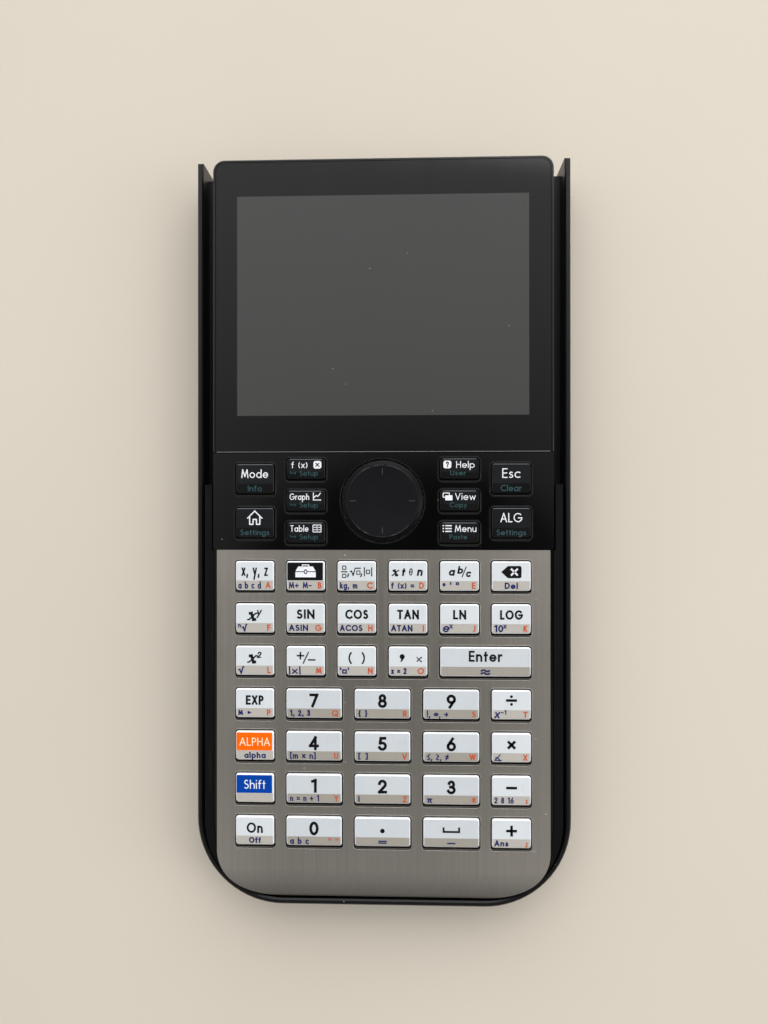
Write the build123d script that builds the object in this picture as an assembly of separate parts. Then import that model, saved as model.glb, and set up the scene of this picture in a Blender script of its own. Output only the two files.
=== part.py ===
"""Graphing calculator lying in its slide cover. Millimetres, +X right, +Y to the display end,
+Z out of the keys. The origin is on the table, under the middle of the slide cover."""
from build123d import *
import os
from math import cos, radians, sin, sqrt

os.makedirs("parts", exist_ok=True)

# ---- slide cover: an open tray, rounded at its closed end -------------------------------
COVER_LENGTH = 181.6
COVER_WIDTH = 91.0
COVER_WALL = 1.4
COVER_FLOOR = 1.6
COVER_CORNER_R = 21.0
COVER_FOOT_R = 2.2              # outer edge between floor and walls
COVER_RIM_ROUND = 0.35
RIM_BELOW_GLASS = 3.0
COVER_SIDE_GAP = 0.85           # to the housing's sides
COVER_END_GAP = 0.3             # to the housing's rounded end
SLIDE_GAP = 0.3                 # under the housing's back
LIP_HEIGHT = 3.8                # lip's lower face above the housing's back
LIP_T = 1.5
LIP_REACH = 1.55
LIP_CLEARANCE = 0.2
GROOVE_DEPTH = 1.1

# ---- calculator body --------------------------------------------------------------------
BODY_T = 14.1                   # back to glass
UPPER_WIDTH = 81.92             # display half
BODY_TOP_GAP = 0.7              # display end of the body, inside the cover's open end
UPPER_CORNER_R = 2.8
HOUSING_WALL = 2.2
HOUSING_FLOOR = 1.6
HOUSING_EDGE_R = 1.2
SPLIT_HEIGHT = 6.1              # joint between rear housing and front bezel, above the back
ARM_LENGTH = 15.4               # side arms that run up beside the control panel
ARM_GAP = 0.55
BEZEL_WALL = 1.2
BEZEL_GAP = 0.2                 # front bezel inside the housing's walls
DECK_T = 1.4

# ---- glass, control panel, faceplate ----------------------------------------------------
GLASS_T = 1.1
GLASS_RIM = 0.6
GLASS_RIM_DROP = 0.1
GLASS_LENGTH = 70.0
GLASS_CORNER_R = 2.2
GLASS_FIT = 0.05
PANEL_LENGTH = 22.95
PANEL_GAP = 0.3
PANEL_DROP = 0.3                # panel below glass
PLATE_WIDTH = 80.2
PLATE_T = 0.6
PLATE_GAP = 0.35
PLATE_DROP = 0.5                # plate below glass
PLATE_END_INSET = 0.5           # plate's lower end inside the housing's end
PLATE_CORNER_X = 15.5
PLATE_CORNER_Y = 12.0
BEND_LENGTH = 7.3               # the plate's lower end curves down
BEND_DROP = 2.5
BORDER_DROP = 0.8               # housing border below the plate

# ---- display module ---------------------------------------------------------------------
LCD_CENTRE_Y = 54.7             # middle of the lit area
LCD_TRAY = (76.9, 62.4, 2.0)
LCD_CELL = (73.4, 58.6, 1.0)
LCD_TRAY_SHIFT = -1.8           # the wider border is on the key side
LCD_FIT = 0.35

# ---- keys -------------------------------------------------------------------------------
COLUMN_PITCH = 12.3
ROW_PITCH = 10.235
ROW_1_INSET = 6.2               # first row's middle below the plate's upper edge
CAP_LENGTH = 7.05
CAP_WIDTH = 9.2
NUMBER_PITCH = 16.45
NUMBER_WIDTH = 13.3
CAP_CORNER_R = 0.6
CAP_EDGE = 0.22                 # bevel round a cap's top
WHITE_PROUD = 0.7               # cap above the plate
FACET_SHARE = 0.34              # sloped lower part of a cap
FACET_DROP = 0.5
KEY_GAP = 0.25
KEY_GAP_LOW = 0.5               # wider gap on a cap's lower side
KEY_TRAVEL = 0.7
FLANGE_T = 0.8
FLANGE_REACH = 0.5              # past the hole's edge
POST_LENGTH = 1.0
POST_R = 1.4
PANEL_KEY_X = 2.5               # columns, in column pitches
PANEL_SMALL_X = 1.5
LARGE_KEY = (9.2, 7.05)
LARGE_KEY_PITCH = 10.6
SMALL_KEY = (9.3, 4.85)
SMALL_KEY_PITCH = 7.65
BLACK_PROUD = 0.45              # cap above the panel
BLACK_FACET_DROP = 0.3
BLACK_EDGE = 0.15

# ---- cursor pad and its gimbal ----------------------------------------------------------
PAD_TOP_R = 8.8
PAD_R = 9.7
PAD_OPENING_R = 10.15
PAD_PROUD = 0.5                 # above the panel
PAD_SLOPE = 0.6
PAD_DISH_R = 95.0               # radius of the hollow in the pad's top
PAD_TILT = 3.0                  # degrees each way
PAD_RUNNING_GAP = 0.25          # left between pad and gimbal at full tilt
GIMBAL_R = 9.3
GIMBAL_BORE_R = 7.4
GIMBAL_T = 1.2
PIN_R = 0.45
PIN_CLEARANCE = 0.05
PIN_LENGTH = 1.5
PAD_FOOT_R = 0.8
PAD_FOOT_AT = 5.2
EAR_T = 1.0
EAR_W = 2.2

# ---- key mat and main board -------------------------------------------------------------
MAT_T = 1.0
DOME_SEAT = 0.3                 # dome height left under a pressed key
DOME_R = 2.6
DOME_TOP_R = 1.5
DOME_WALL = 0.45
BOARD_T = 1.2
BOARD_FIT = 0.4
BOARD_CORNER_R = 14.0
MAT_INSET = 0.6
CHIP_T = 1.0

# ---- battery and its cover --------------------------------------------------------------
BATTERY = (54.0, 34.0, 4.6)
BATTERY_Y = 40.0
BATTERY_FIT = 0.4
DOOR_T = 1.1
DOOR_RIM = 2.4                  # door past the battery opening, all round
DOOR_FIT = 0.15
DOOR_CORNER_R = 2.0
HOOK = (6.0, 1.4, 0.8)
HOOK_X = 16.0
THUMB_R = 6.0
THUMB_DEPTH = 0.5

# ---- USB socket, ribbon, screws ---------------------------------------------------------
USB = (7.5, 5.6, 2.6)
USB_X = -12.0
USB_FIT = 0.3
RIBBON_W = 14.0
RIBBON_T = 0.2
RIBBON_RUN = 6.0
SCREW_R = 0.9
SCREW_HEAD_R = 1.9
SCREW_HEAD_T = 1.2
SCREW_SINK = 1.4                # depth of the counterbore in the back
SCREW_FIT = 0.2
SCREW_BITE = 0.03               # pilot hole over the screw's radius
SCREW_LENGTH = 9.6
CROSS_W = 0.5
BOSS_R = 1.8

# ---- heights worked out from the sizes above --------------------------------------------
back_z = COVER_FLOOR + SLIDE_GAP
glass_z = back_z + BODY_T
rim_z = glass_z - RIM_BELOW_GLASS
split_z = back_z + SPLIT_HEIGHT
panel_z = glass_z - PANEL_DROP
plate_z = glass_z - PLATE_DROP
ledge_z = glass_z - GLASS_T
deck_z = plate_z - PLATE_T
deck_under_z = deck_z - DECK_T
flange_z = deck_under_z - FLANGE_T
dome_z = flange_z - POST_LENGTH
dome_h = KEY_TRAVEL + DOME_SEAT
mat_z = dome_z - dome_h
board_z = mat_z - MAT_T
board_under_z = board_z - BOARD_T
floor_z = back_z + HOUSING_FLOOR
door_z = back_z + DOOR_T

# ---- places along the length ------------------------------------------------------------
cover_end_y = -COVER_LENGTH / 2
cover_open_y = COVER_LENGTH / 2
housing_end_y = cover_end_y + COVER_WALL + COVER_END_GAP
body_top_y = cover_open_y - BODY_TOP_GAP
glass_top_y = body_top_y - GLASS_RIM
glass_low_y = glass_top_y - GLASS_LENGTH
panel_top_y = glass_low_y - PANEL_GAP
panel_low_y = panel_top_y - PANEL_LENGTH
plate_top_y = panel_low_y - PLATE_GAP
plate_low_y = housing_end_y + PLATE_END_INSET
arm_top_y = panel_low_y + ARM_LENGTH
pad_y = (panel_top_y + panel_low_y) / 2

# ---- half widths ------------------------------------------------------------------------
cover_half = COVER_WIDTH / 2
cover_inner_half = cover_half - COVER_WALL
housing_half = cover_inner_half - COVER_SIDE_GAP
housing_corner = COVER_CORNER_R - COVER_WALL - COVER_END_GAP
wall_half = housing_half - HOUSING_WALL
bezel_half = wall_half - BEZEL_GAP
bezel_end_y = housing_end_y + HOUSING_WALL + BEZEL_GAP
bezel_corner = housing_corner - HOUSING_WALL - BEZEL_GAP
upper_half = UPPER_WIDTH / 2
cavity_half = upper_half - HOUSING_WALL
cavity_top_y = body_top_y - HOUSING_WALL
cavity_corner = housing_corner - (housing_half - cavity_half)
cavity_end_y = housing_end_y + (housing_half - cavity_half)

# the plate's lower end follows one arc
bend_r = (BEND_LENGTH**2 + BEND_DROP**2) / (2 * BEND_DROP)
bend_y = plate_low_y + BEND_LENGTH
bend_z = plate_z - bend_r

screw_places = [
    (side * x, y)
    for side in (-1, 1)
    for x, y in (
        (34.0, cavity_top_y - BOSS_R + 0.1),
        (cavity_half - BOSS_R, panel_low_y + 0.2),
        (24.6, plate_low_y + BEND_LENGTH + 0.6),
    )
]


def save(shape, node):
    """Write one node's STEP file."""
    shape.label = node
    export_step(shape, f"parts/{node}.step")


def block(x0, x1, y0, y1, z0, z1):
    """Box between two corners."""
    size = (x1 - x0, y1 - y0, z1 - z0)
    return Pos((x0 + x1) / 2, (y0 + y1) / 2, (z0 + z1) / 2) * Box(*size)


def rod(x, y, z0, z1, radius):
    """Upright cylinder."""
    return Pos(x, y, (z0 + z1) / 2) * Cylinder(radius, z1 - z0)


def corner_arc(centre, radius_x, radius_y, start):
    """Quarter of a circle or an ellipse."""
    if radius_x == radius_y:
        return CenterArc(centre, radius_x, start, 90)
    return EllipticalCenterArc(centre, radius_x, radius_y, start, arc_size=90)


def tongue(half, y_low, y_top, corner_x, corner_y, z0, z1):
    """Prism with two rounded corners at its lower end."""
    x_mid = half - corner_x
    y_mid = y_low + corner_y
    with BuildLine() as line:
        Line((half, y_mid), (half, y_top))
        Line((half, y_top), (-half, y_top))
        Line((-half, y_top), (-half, y_mid))
        corner_arc((-x_mid, y_mid), corner_x, corner_y, 180)
        Line((-x_mid, y_low), (x_mid, y_low))
        corner_arc((x_mid, y_mid), corner_x, corner_y, 270)
    face = make_face(line.edges())
    return Pos(0, 0, z0) * extrude(face, z1 - z0, dir=(0, 0, 1))


def rounded(width, length, corner, z0, z1):
    """Rounded rectangle prism about the Z axis."""
    return Pos(0, 0, z0) * extrude(RectangleRounded(width, length, corner), z1 - z0)


def upper(half, y_low, y_top, corner, z0, z1):
    """Prism with two rounded corners at its display end."""
    return Rot(0, 0, 180) * tongue(half, -y_top, -y_low, corner, corner, z0, z1)


def under_plate(depth):
    """Everything that lies `depth` or more below the plate's top, down to the table."""
    radius = bend_r - depth
    reach = bend_y - housing_end_y + 1.0
    end = (bend_y - reach, bend_z + sqrt(radius**2 - reach**2))
    turn = reach / radius
    middle = (bend_y - radius * sin(turn / 2), bend_z + radius * cos(turn / 2))
    top = (bend_y, plate_z - depth)
    with BuildLine() as line:
        Line((body_top_y, 0), (body_top_y, top[1]))
        Line((body_top_y, top[1]), top)
        ThreePointArc(top, middle, end)
        Line(end, (end[0], 0))
        Line((end[0], 0), (body_top_y, 0))
    side = Plane(origin=(-COVER_WIDTH, 0, 0), x_dir=(0, 1, 0), z_dir=(1, 0, 0))
    return extrude(side * make_face(line.edges()), 2 * COVER_WIDTH, dir=(1, 0, 0))


def top_edges(shape, z_least, z_most):
    """Edges whose middles lie between two heights."""
    return [e for e in shape.edges() if z_least < e.center().Z < z_most]


# ---- key layout: node, place, width, length, top height, facet drop, surface ------------
def key_layout():
    """Every key as (node, x, y, width, length, is_white)."""
    names = [
        ["variables", "toolbox", "template", "xtn", "fraction", "delete"],
        ["power", "sin", "cos", "tan", "ln", "log"],
        ["square", "plus_minus", "brackets", "comma", "enter"],
        ["exponent", "7", "8", "9", "divide"],
        ["alpha", "4", "5", "6", "multiply"],
        ["shift", "1", "2", "3", "minus"],
        ["on", "0", "point", "space", "plus"],
    ]
    keys = []
    for row, labels in enumerate(names):
        y = plate_top_y - ROW_1_INSET - row * ROW_PITCH
        if len(labels) == 6:
            places = [(column - 2.5) * COLUMN_PITCH for column in range(6)]
            widths = [CAP_WIDTH] * 6
        elif row == 2:
            places = [(column - 2.5) * COLUMN_PITCH for column in range(4)] + [2 * COLUMN_PITCH]
            widths = [CAP_WIDTH] * 4 + [CAP_WIDTH + COLUMN_PITCH]
        else:
            outer = 2.5 * COLUMN_PITCH
            places = [-outer, -NUMBER_PITCH, 0, NUMBER_PITCH, outer]
            widths = [CAP_WIDTH] + [NUMBER_WIDTH] * 3 + [CAP_WIDTH]
        for label, x, width in zip(labels, places, widths):
            keys.append((f"key_{label}", x, y, width, CAP_LENGTH, True))
    for side, large, small in (
        (-1, ("apps", "home"), ("formula", "graph", "table")),
        (1, ("escape", "algebra"), ("help", "view", "menu")),
    ):
        for index, label in enumerate(large):
            y = pad_y + (0.5 - index) * LARGE_KEY_PITCH
            keys.append((f"key_{label}", side * PANEL_KEY_X * COLUMN_PITCH, y, *LARGE_KEY, False))
        for index, label in enumerate(small):
            y = pad_y + (1 - index) * SMALL_KEY_PITCH
            keys.append((f"key_{label}", side * PANEL_SMALL_X * COLUMN_PITCH, y, *SMALL_KEY, False))
    return keys


def key_hole(x, y, width, length, z0, z1):
    """Opening that a cap stands in, wider on its lower side."""
    hole = rounded(
        width + 2 * KEY_GAP,
        length + KEY_GAP + KEY_GAP_LOW,
        CAP_CORNER_R + KEY_GAP,
        z0,
        z1,
    )
    return Pos(x, y + (KEY_GAP - KEY_GAP_LOW) / 2, 0) * hole


def make_key(x, y, width, length, is_white):
    """Cap with a flat top and a sloped lower facet, a flange under the deck and a post."""
    top = plate_z + WHITE_PROUD if is_white else panel_z + BLACK_PROUD
    drop = FACET_DROP if is_white else BLACK_FACET_DROP
    cap = rounded(width, length, CAP_CORNER_R, deck_under_z, top)
    facet_y = -length / 2 + FACET_SHARE * length
    with BuildLine() as line:
        Polyline(
            (facet_y, top),
            (-length, top - drop * (length + facet_y) / (facet_y + length / 2)),
            (-length, top + 1),
            (facet_y, top + 1),
            close=True,
        )
    side = Plane(origin=(-width, 0, 0), x_dir=(0, 1, 0), z_dir=(1, 0, 0))
    cap -= extrude(side * make_face(line.edges()), 2 * width, dir=(1, 0, 0))
    rim = [
        e
        for e in top_edges(cap, top - drop - 0.01, top + 0.01)
        if abs(e.center().Y - facet_y) > 0.01 or abs(e.center().X) > 0.01
    ]
    cap = chamfer(rim, CAP_EDGE if is_white else BLACK_EDGE)
    hole_y = (KEY_GAP - KEY_GAP_LOW) / 2
    flange = Pos(0, hole_y, 0) * rounded(
        width + 2 * (KEY_GAP + FLANGE_REACH),
        length + KEY_GAP + KEY_GAP_LOW + 2 * FLANGE_REACH,
        CAP_CORNER_R,
        flange_z,
        deck_under_z,
    )
    key = cap + flange + rod(0, 0, dome_z, flange_z, POST_R)
    return Pos(x, y, 0) * key


def make_slide_cover():
    """Tray with lips that run in the housing's side grooves."""
    corner = COVER_CORNER_R
    tray = tongue(cover_half, cover_end_y, cover_open_y, corner, corner, 0, rim_z)
    foot = [
        e
        for e in tray.edges()
        if e.center().Z < 0.01 and e.center().Y < cover_open_y - 0.01
    ]
    tray = fillet(foot, COVER_FOOT_R)
    inner = corner - COVER_WALL
    tray -= tongue(
        cover_inner_half, cover_end_y + COVER_WALL, cover_open_y + 1, inner, inner, COVER_FLOOR, rim_z + 1
    )
    tray = chamfer([e for e in top_edges(tray, rim_z - 0.01, rim_z + 0.01)], COVER_RIM_ROUND)
    lip_z = back_z + LIP_HEIGHT
    lip_low_y = cover_end_y + corner + 3
    for side in (-1, 1):
        reach = side * (cover_inner_half - LIP_REACH)
        wall = side * (cover_inner_half + COVER_WALL / 2)
        x0, x1 = min(reach, wall), max(reach, wall)
        tray += block(x0, x1, lip_low_y, cover_open_y - 2, lip_z, lip_z + LIP_T)
    return tray


def make_rear_housing():
    """Back shell with the side arms, the border under the faceplate and the screw bosses."""
    corner = housing_corner
    lower = tongue(housing_half, housing_end_y, arm_top_y, corner, corner, back_z, glass_z)
    lower &= under_plate(BORDER_DROP)
    display = upper(upper_half, 0, body_top_y, UPPER_CORNER_R, back_z, split_z)
    shell = lower + display
    shell = fillet(top_edges(shell, back_z - 0.01, back_z + 0.01), HOUSING_EDGE_R)
    # inside, below the joint with the bezel
    low = tongue(cavity_half, cavity_end_y, cavity_top_y, cavity_corner, cavity_corner, floor_z, glass_z)
    # room for the bezel beside the keys, and beside the control panel
    recess_corner = bezel_corner + BEZEL_GAP
    keys = tongue(
        wall_half, bezel_end_y - BEZEL_GAP, panel_low_y, recess_corner, recess_corner, split_z, glass_z
    )
    arm_half = upper_half + ARM_GAP
    panel = block(-arm_half, arm_half, panel_low_y - PLATE_GAP, arm_top_y + 1, split_z, glass_z)
    shell -= low + keys + panel
    groove_z = back_z + LIP_HEIGHT - LIP_CLEARANCE
    for side in (-1, 1):
        x0, x1 = sorted((side * (housing_half - GROOVE_DEPTH), side * cover_half))
        shell -= block(
            x0, x1, cover_end_y, cover_open_y, groove_z, groove_z + LIP_T + 2 * LIP_CLEARANCE
        )
    return finish_back(shell)


def finish_back(shell):
    """Screw bosses, battery bay and USB opening."""
    for x, y in screw_places:
        boss = rod(x, y, floor_z - 0.5, board_under_z, SCREW_HEAD_R + 0.6)
        cavity = tongue(
            cavity_half, cavity_end_y, cavity_top_y, cavity_corner, cavity_corner, 0, glass_z
        )
        shell += boss & cavity
        shell -= rod(x, y, 0, glass_z, SCREW_R + SCREW_FIT)
        shell -= rod(x, y, 0, back_z + SCREW_SINK, SCREW_HEAD_R + SCREW_FIT)
    bay_x = BATTERY[0] / 2 + BATTERY_FIT
    bay_y = BATTERY[1] / 2 + BATTERY_FIT
    wall = 1.0
    ring_top = door_z + BATTERY[2]
    ring = block(-bay_x - wall, bay_x + wall, -bay_y - wall, bay_y + wall, floor_z - 0.5, ring_top)
    ring -= block(-bay_x, bay_x, -bay_y, bay_y, 0, glass_z)
    for side in (-1, 1):
        x = side * HOOK_X
        hook_z = floor_z + HOOK[2] + 0.6
        room = HOOK[0] / 2 + 0.4
        ring -= block(x - room, x + room, -bay_y - wall - 1, bay_y + wall + 1, floor_z, hook_z)
    bay = Pos(0, BATTERY_Y, 0)
    shell += bay * ring
    shell -= bay * block(-bay_x, bay_x, -bay_y, bay_y, 0, floor_z + 0.1)
    door = rounded(
        2 * (bay_x + DOOR_RIM + DOOR_FIT),
        2 * (bay_y + DOOR_RIM + DOOR_FIT),
        DOOR_CORNER_R + DOOR_FIT,
        0,
        door_z,
    )
    shell -= bay * door
    return shell - usb_opening()


def usb_opening():
    """Slot in the display end for the plug."""
    half = USB[0] / 2 + USB_FIT
    low = board_under_z - USB[2] - USB_FIT
    return block(
        USB_X - half, USB_X + half, cavity_top_y - 1, body_top_y + 1, low, board_under_z + USB_FIT
    )


def make_front_bezel(keys):
    """Glossy moulding: rim round the glass, control panel, and the deck under the faceplate."""
    beside = tongue(
        bezel_half, bezel_end_y, panel_low_y + 0.1, bezel_corner, bezel_corner, split_z, deck_z
    )
    beside &= under_plate(PLATE_T)
    block_top = upper(
        upper_half, panel_low_y, body_top_y, UPPER_CORNER_R, split_z, glass_z - GLASS_RIM_DROP
    )
    bezel = beside + block_top
    bezel = fillet(
        [
            e
            for e in top_edges(bezel, glass_z - GLASS_RIM_DROP - 0.01, glass_z)
            if e.center().Y > panel_low_y + 1
        ],
        0.25,
    )
    bezel -= block(
        -cover_half, cover_half, panel_low_y, glass_low_y - GLASS_FIT, panel_z, glass_z
    )
    pocket = upper(
        upper_half - GLASS_RIM,
        panel_top_y + PANEL_GAP / 2,
        glass_top_y + GLASS_FIT / 2,
        GLASS_CORNER_R,
        ledge_z,
        glass_z,
    )
    bezel -= pocket
    # a fine groove parts the control panel from the glass
    bezel -= block(-upper_half, upper_half, panel_top_y, glass_low_y, ledge_z, glass_z)
    # hollow inside
    inner_corner = bezel_corner - BEZEL_WALL
    hollow = tongue(
        bezel_half - BEZEL_WALL,
        bezel_end_y + BEZEL_WALL,
        panel_low_y + 4,
        inner_corner,
        inner_corner,
        0,
        deck_under_z,
    )
    hollow &= under_plate(PLATE_T + DECK_T)
    bezel -= hollow
    bezel -= upper(
        upper_half - BEZEL_WALL,
        panel_low_y + BEZEL_WALL,
        body_top_y - BEZEL_WALL,
        UPPER_CORNER_R - BEZEL_WALL,
        0,
        deck_under_z,
    )
    # window for the display module
    window_x = LCD_TRAY[0] / 2 + LCD_FIT
    window_y = LCD_TRAY[1] / 2 + LCD_FIT
    tray_y = LCD_CENTRE_Y + LCD_TRAY_SHIFT
    bezel -= block(-window_x, window_x, tray_y - window_y, tray_y + window_y, 0, glass_z)
    for node, x, y, width, length, is_white in keys:
        bezel -= key_hole(x, y, width, length, deck_under_z - 1, glass_z + 1)
    bezel -= rod(0, pad_y, deck_under_z - 1, glass_z + 1, PAD_OPENING_R)
    opening = [
        e
        for e in top_edges(bezel, panel_z - 0.01, panel_z + 0.01)
        if abs(e.length - 2 * 3.14159 * PAD_OPENING_R) < 0.1
    ]
    bezel = chamfer(opening, 0.2)
    for side in (-1, 1):
        pin_z = deck_under_z - GIMBAL_T / 2
        inner = PAD_OPENING_R + 0.1
        x0, x1 = sorted((side * inner, side * (GIMBAL_R + PIN_LENGTH + 0.6)))
        bezel += block(x0, x1, pad_y - EAR_W / 2, pad_y + EAR_W / 2, pin_z - 1.1, deck_under_z)
        x0, x1 = sorted((side * (inner - 1), side * (GIMBAL_R + PIN_LENGTH + 0.1)))
        hole = Rot(0, 90, 0) * Cylinder(PIN_R + PIN_CLEARANCE, x1 - x0)
        bezel -= Pos((x0 + x1) / 2, pad_y, pin_z) * hole
    for x, y in screw_places:
        bezel += rod(x, y, board_z, deck_under_z + 0.2, BOSS_R)
        bezel -= rod(x, y, 0, board_z + SCREW_LENGTH / 3, SCREW_R + SCREW_BITE)
    return bezel - usb_opening()


def make_faceplate(keys):
    """Brushed sheet with a hole for each white key, bent down at its lower end."""
    plate = tongue(
        PLATE_WIDTH / 2, plate_low_y, plate_top_y, PLATE_CORNER_X, PLATE_CORNER_Y, 0, glass_z
    )
    plate &= under_plate(0)
    plate -= under_plate(PLATE_T)
    for node, x, y, width, length, is_white in keys:
        if is_white:
            plate -= key_hole(x, y, width, length, deck_under_z, glass_z)
    return plate


def make_display_glass():
    """Glass plate that fills the bezel's rim."""
    glass = upper(
        upper_half - GLASS_RIM - GLASS_FIT,
        glass_low_y,
        glass_top_y - GLASS_FIT / 2,
        GLASS_CORNER_R - GLASS_FIT,
        ledge_z,
        glass_z,
    )
    return chamfer(top_edges(glass, glass_z - 0.01, glass_z + 0.01), 0.15)


def make_display_module():
    """Backlight tray, liquid-crystal cell and the ribbon that folds down to the main board."""
    width, length, height = LCD_TRAY
    cell_z = ledge_z - LCD_CELL[2]
    tray_z = cell_z - height
    tray_y = LCD_CENTRE_Y + LCD_TRAY_SHIFT
    tray = block(-width / 2, width / 2, tray_y - length / 2, tray_y + length / 2, tray_z, cell_z)
    cell_y = LCD_CENTRE_Y - 1.0
    half_x = LCD_CELL[0] / 2
    half_y = LCD_CELL[1] / 2
    cell = block(-half_x, half_x, cell_y - half_y, cell_y + half_y, cell_z, ledge_z)
    return Compound(children=[tray, cell, make_ribbon(tray_z)])


def ribbon_places():
    """Upper run's end and the fold's middle, along the length."""
    tray_low_y = LCD_CENTRE_Y + LCD_TRAY_SHIFT - LCD_TRAY[1] / 2
    return tray_low_y + 2 * RIBBON_RUN, tray_low_y + RIBBON_RUN


def make_ribbon(tray_z):
    """Flat flexible strip, folded back on itself."""
    run_y, fold_y = ribbon_places()
    low_z = board_z + CHIP_T / 2
    radius = (tray_z - low_z) / 2
    mid_z = (tray_z + low_z) / 2
    inner = radius - RIBBON_T
    side = Plane(origin=(-RIBBON_W / 2, 0, 0), x_dir=(0, 1, 0), z_dir=(1, 0, 0))
    with BuildLine() as line:
        Line((run_y, tray_z), (fold_y, tray_z))
        ThreePointArc((fold_y, tray_z), (fold_y - radius, mid_z), (fold_y, low_z))
        Line((fold_y, low_z), (run_y, low_z))
        Line((run_y, low_z), (run_y, low_z + RIBBON_T))
        Line((run_y, low_z + RIBBON_T), (fold_y, low_z + RIBBON_T))
        ThreePointArc((fold_y, mid_z - inner), (fold_y - inner, mid_z), (fold_y, mid_z + inner))
        Line((fold_y, tray_z - RIBBON_T), (run_y, tray_z - RIBBON_T))
        Line((run_y, tray_z - RIBBON_T), (run_y, tray_z))
    return extrude(side * make_face(line.edges()), RIBBON_W, dir=(1, 0, 0))


def make_main_board():
    """Circuit board with its chips, USB socket, display connector and battery contacts."""
    half = cavity_half - BOARD_FIT / 2
    end_y = cavity_end_y + BOARD_FIT / 2
    top_y = cavity_top_y - BOARD_FIT / 2
    corner = BOARD_CORNER_R
    board = tongue(half, end_y, top_y, corner, corner, board_under_z, board_z)
    for x, y in screw_places:
        board -= rod(x, y, 0, glass_z, SCREW_R + SCREW_FIT)
    under = board_under_z
    processor = block(-7, 7, -18, -4, under - CHIP_T, under)
    memory = block(12, 23, -16, -6, under - CHIP_T, under)
    flash = block(-24, -12, -15, -7, under - CHIP_T, under)
    crystal = block(10, 13.2, -2, 3, under - CHIP_T, under)
    contacts_y = BATTERY_Y - BATTERY[1] / 2 - BATTERY_FIT - 1.6
    contacts = block(14, 24, contacts_y - 3, contacts_y, door_z + 1.5, under)
    socket = block(
        USB_X - USB[0] / 2, USB_X + USB[0] / 2, top_y - USB[1], top_y, under - USB[2], under
    )
    shell_t = 0.4
    mouth = block(
        USB_X - USB[0] / 2 + shell_t,
        USB_X + USB[0] / 2 - shell_t,
        top_y - USB[1] + 1,
        top_y + 1,
        under - USB[2] + shell_t,
        under - shell_t,
    )
    blade = block(USB_X - 2, USB_X + 2, top_y - USB[1] + 1, top_y - 1, under - 1.4, under - 0.8)
    socket = socket - mouth + blade
    run_y = ribbon_places()[0]
    latch = block(
        -RIBBON_W / 2 - 1, RIBBON_W / 2 + 1, run_y, run_y + 3, board_z, board_z + CHIP_T
    )
    return Compound(
        children=[board, processor, memory, flash, crystal, contacts, socket, latch]
    )


def dome(x, y):
    """Dome over a contact, with the hollow under it."""
    outside = Pos(x, y, mat_z + dome_h / 2) * Cone(DOME_R, DOME_TOP_R, dome_h)
    inside_h = MAT_T + dome_h - 2 * DOME_WALL
    inside = Pos(x, y, board_z + inside_h / 2) * Cone(
        DOME_R - DOME_WALL, DOME_TOP_R - DOME_WALL, inside_h
    )
    return outside, inside


def make_key_mat(keys):
    """One silicone sheet with a dome under each key and four under the cursor pad."""
    half = cavity_half - BOARD_FIT - MAT_INSET
    end_y = cavity_end_y + BOARD_FIT + MAT_INSET
    mat = tongue(half, end_y, panel_top_y, BOARD_CORNER_R, BOARD_CORNER_R, board_z, mat_z)
    places = [(x, y) for node, x, y, width, length, is_white in keys]
    ring_at = (GIMBAL_R + GIMBAL_BORE_R) / 2
    places += [(0, pad_y + ring_at), (0, pad_y - ring_at)]
    places += [(PAD_FOOT_AT, pad_y), (-PAD_FOOT_AT, pad_y)]
    hollows = []
    for x, y in places:
        outside, inside = dome(x, y)
        mat += outside
        hollows.append(inside)
    for inside in hollows:
        mat -= inside
    for x, y in screw_places:
        mat -= rod(x, y, 0, glass_z, BOSS_R + SCREW_FIT)
    return mat


def make_cursor_pad():
    """Dished disc with two feet and two ears whose pins turn in the gimbal."""
    top = panel_z + PAD_PROUD
    slope_z = top - PAD_SLOPE
    under = deck_under_z + GIMBAL_R * sin(radians(PAD_TILT)) + PAD_RUNNING_GAP
    disc = rod(0, 0, under, slope_z, PAD_R)
    disc += Pos(0, 0, (slope_z + top) / 2) * Cone(PAD_R, PAD_TOP_R, PAD_SLOPE)
    sag = PAD_DISH_R - sqrt(PAD_DISH_R**2 - (PAD_TOP_R - 0.5) ** 2)
    disc -= Pos(0, 0, top + PAD_DISH_R - sag) * Sphere(PAD_DISH_R)
    pin_z = deck_under_z - GIMBAL_T / 2
    for side in (-1, 1):
        foot_x = side * PAD_FOOT_AT
        disc += rod(foot_x, 0, dome_z, under, PAD_FOOT_R)
        y0, y1 = sorted((side * (GIMBAL_BORE_R - 0.35), side * (GIMBAL_BORE_R - 0.35 - EAR_T)))
        disc += block(-EAR_W / 2, EAR_W / 2, y0, y1, pin_z - 0.9, under)
        y0, y1 = sorted((side * (GIMBAL_BORE_R - 0.6), side * (GIMBAL_R - 0.3)))
        pin = Rot(90, 0, 0) * Cylinder(PIN_R, y1 - y0)
        disc += Pos(0, (y0 + y1) / 2, pin_z) * pin
    return Pos(0, pad_y, 0) * disc


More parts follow.
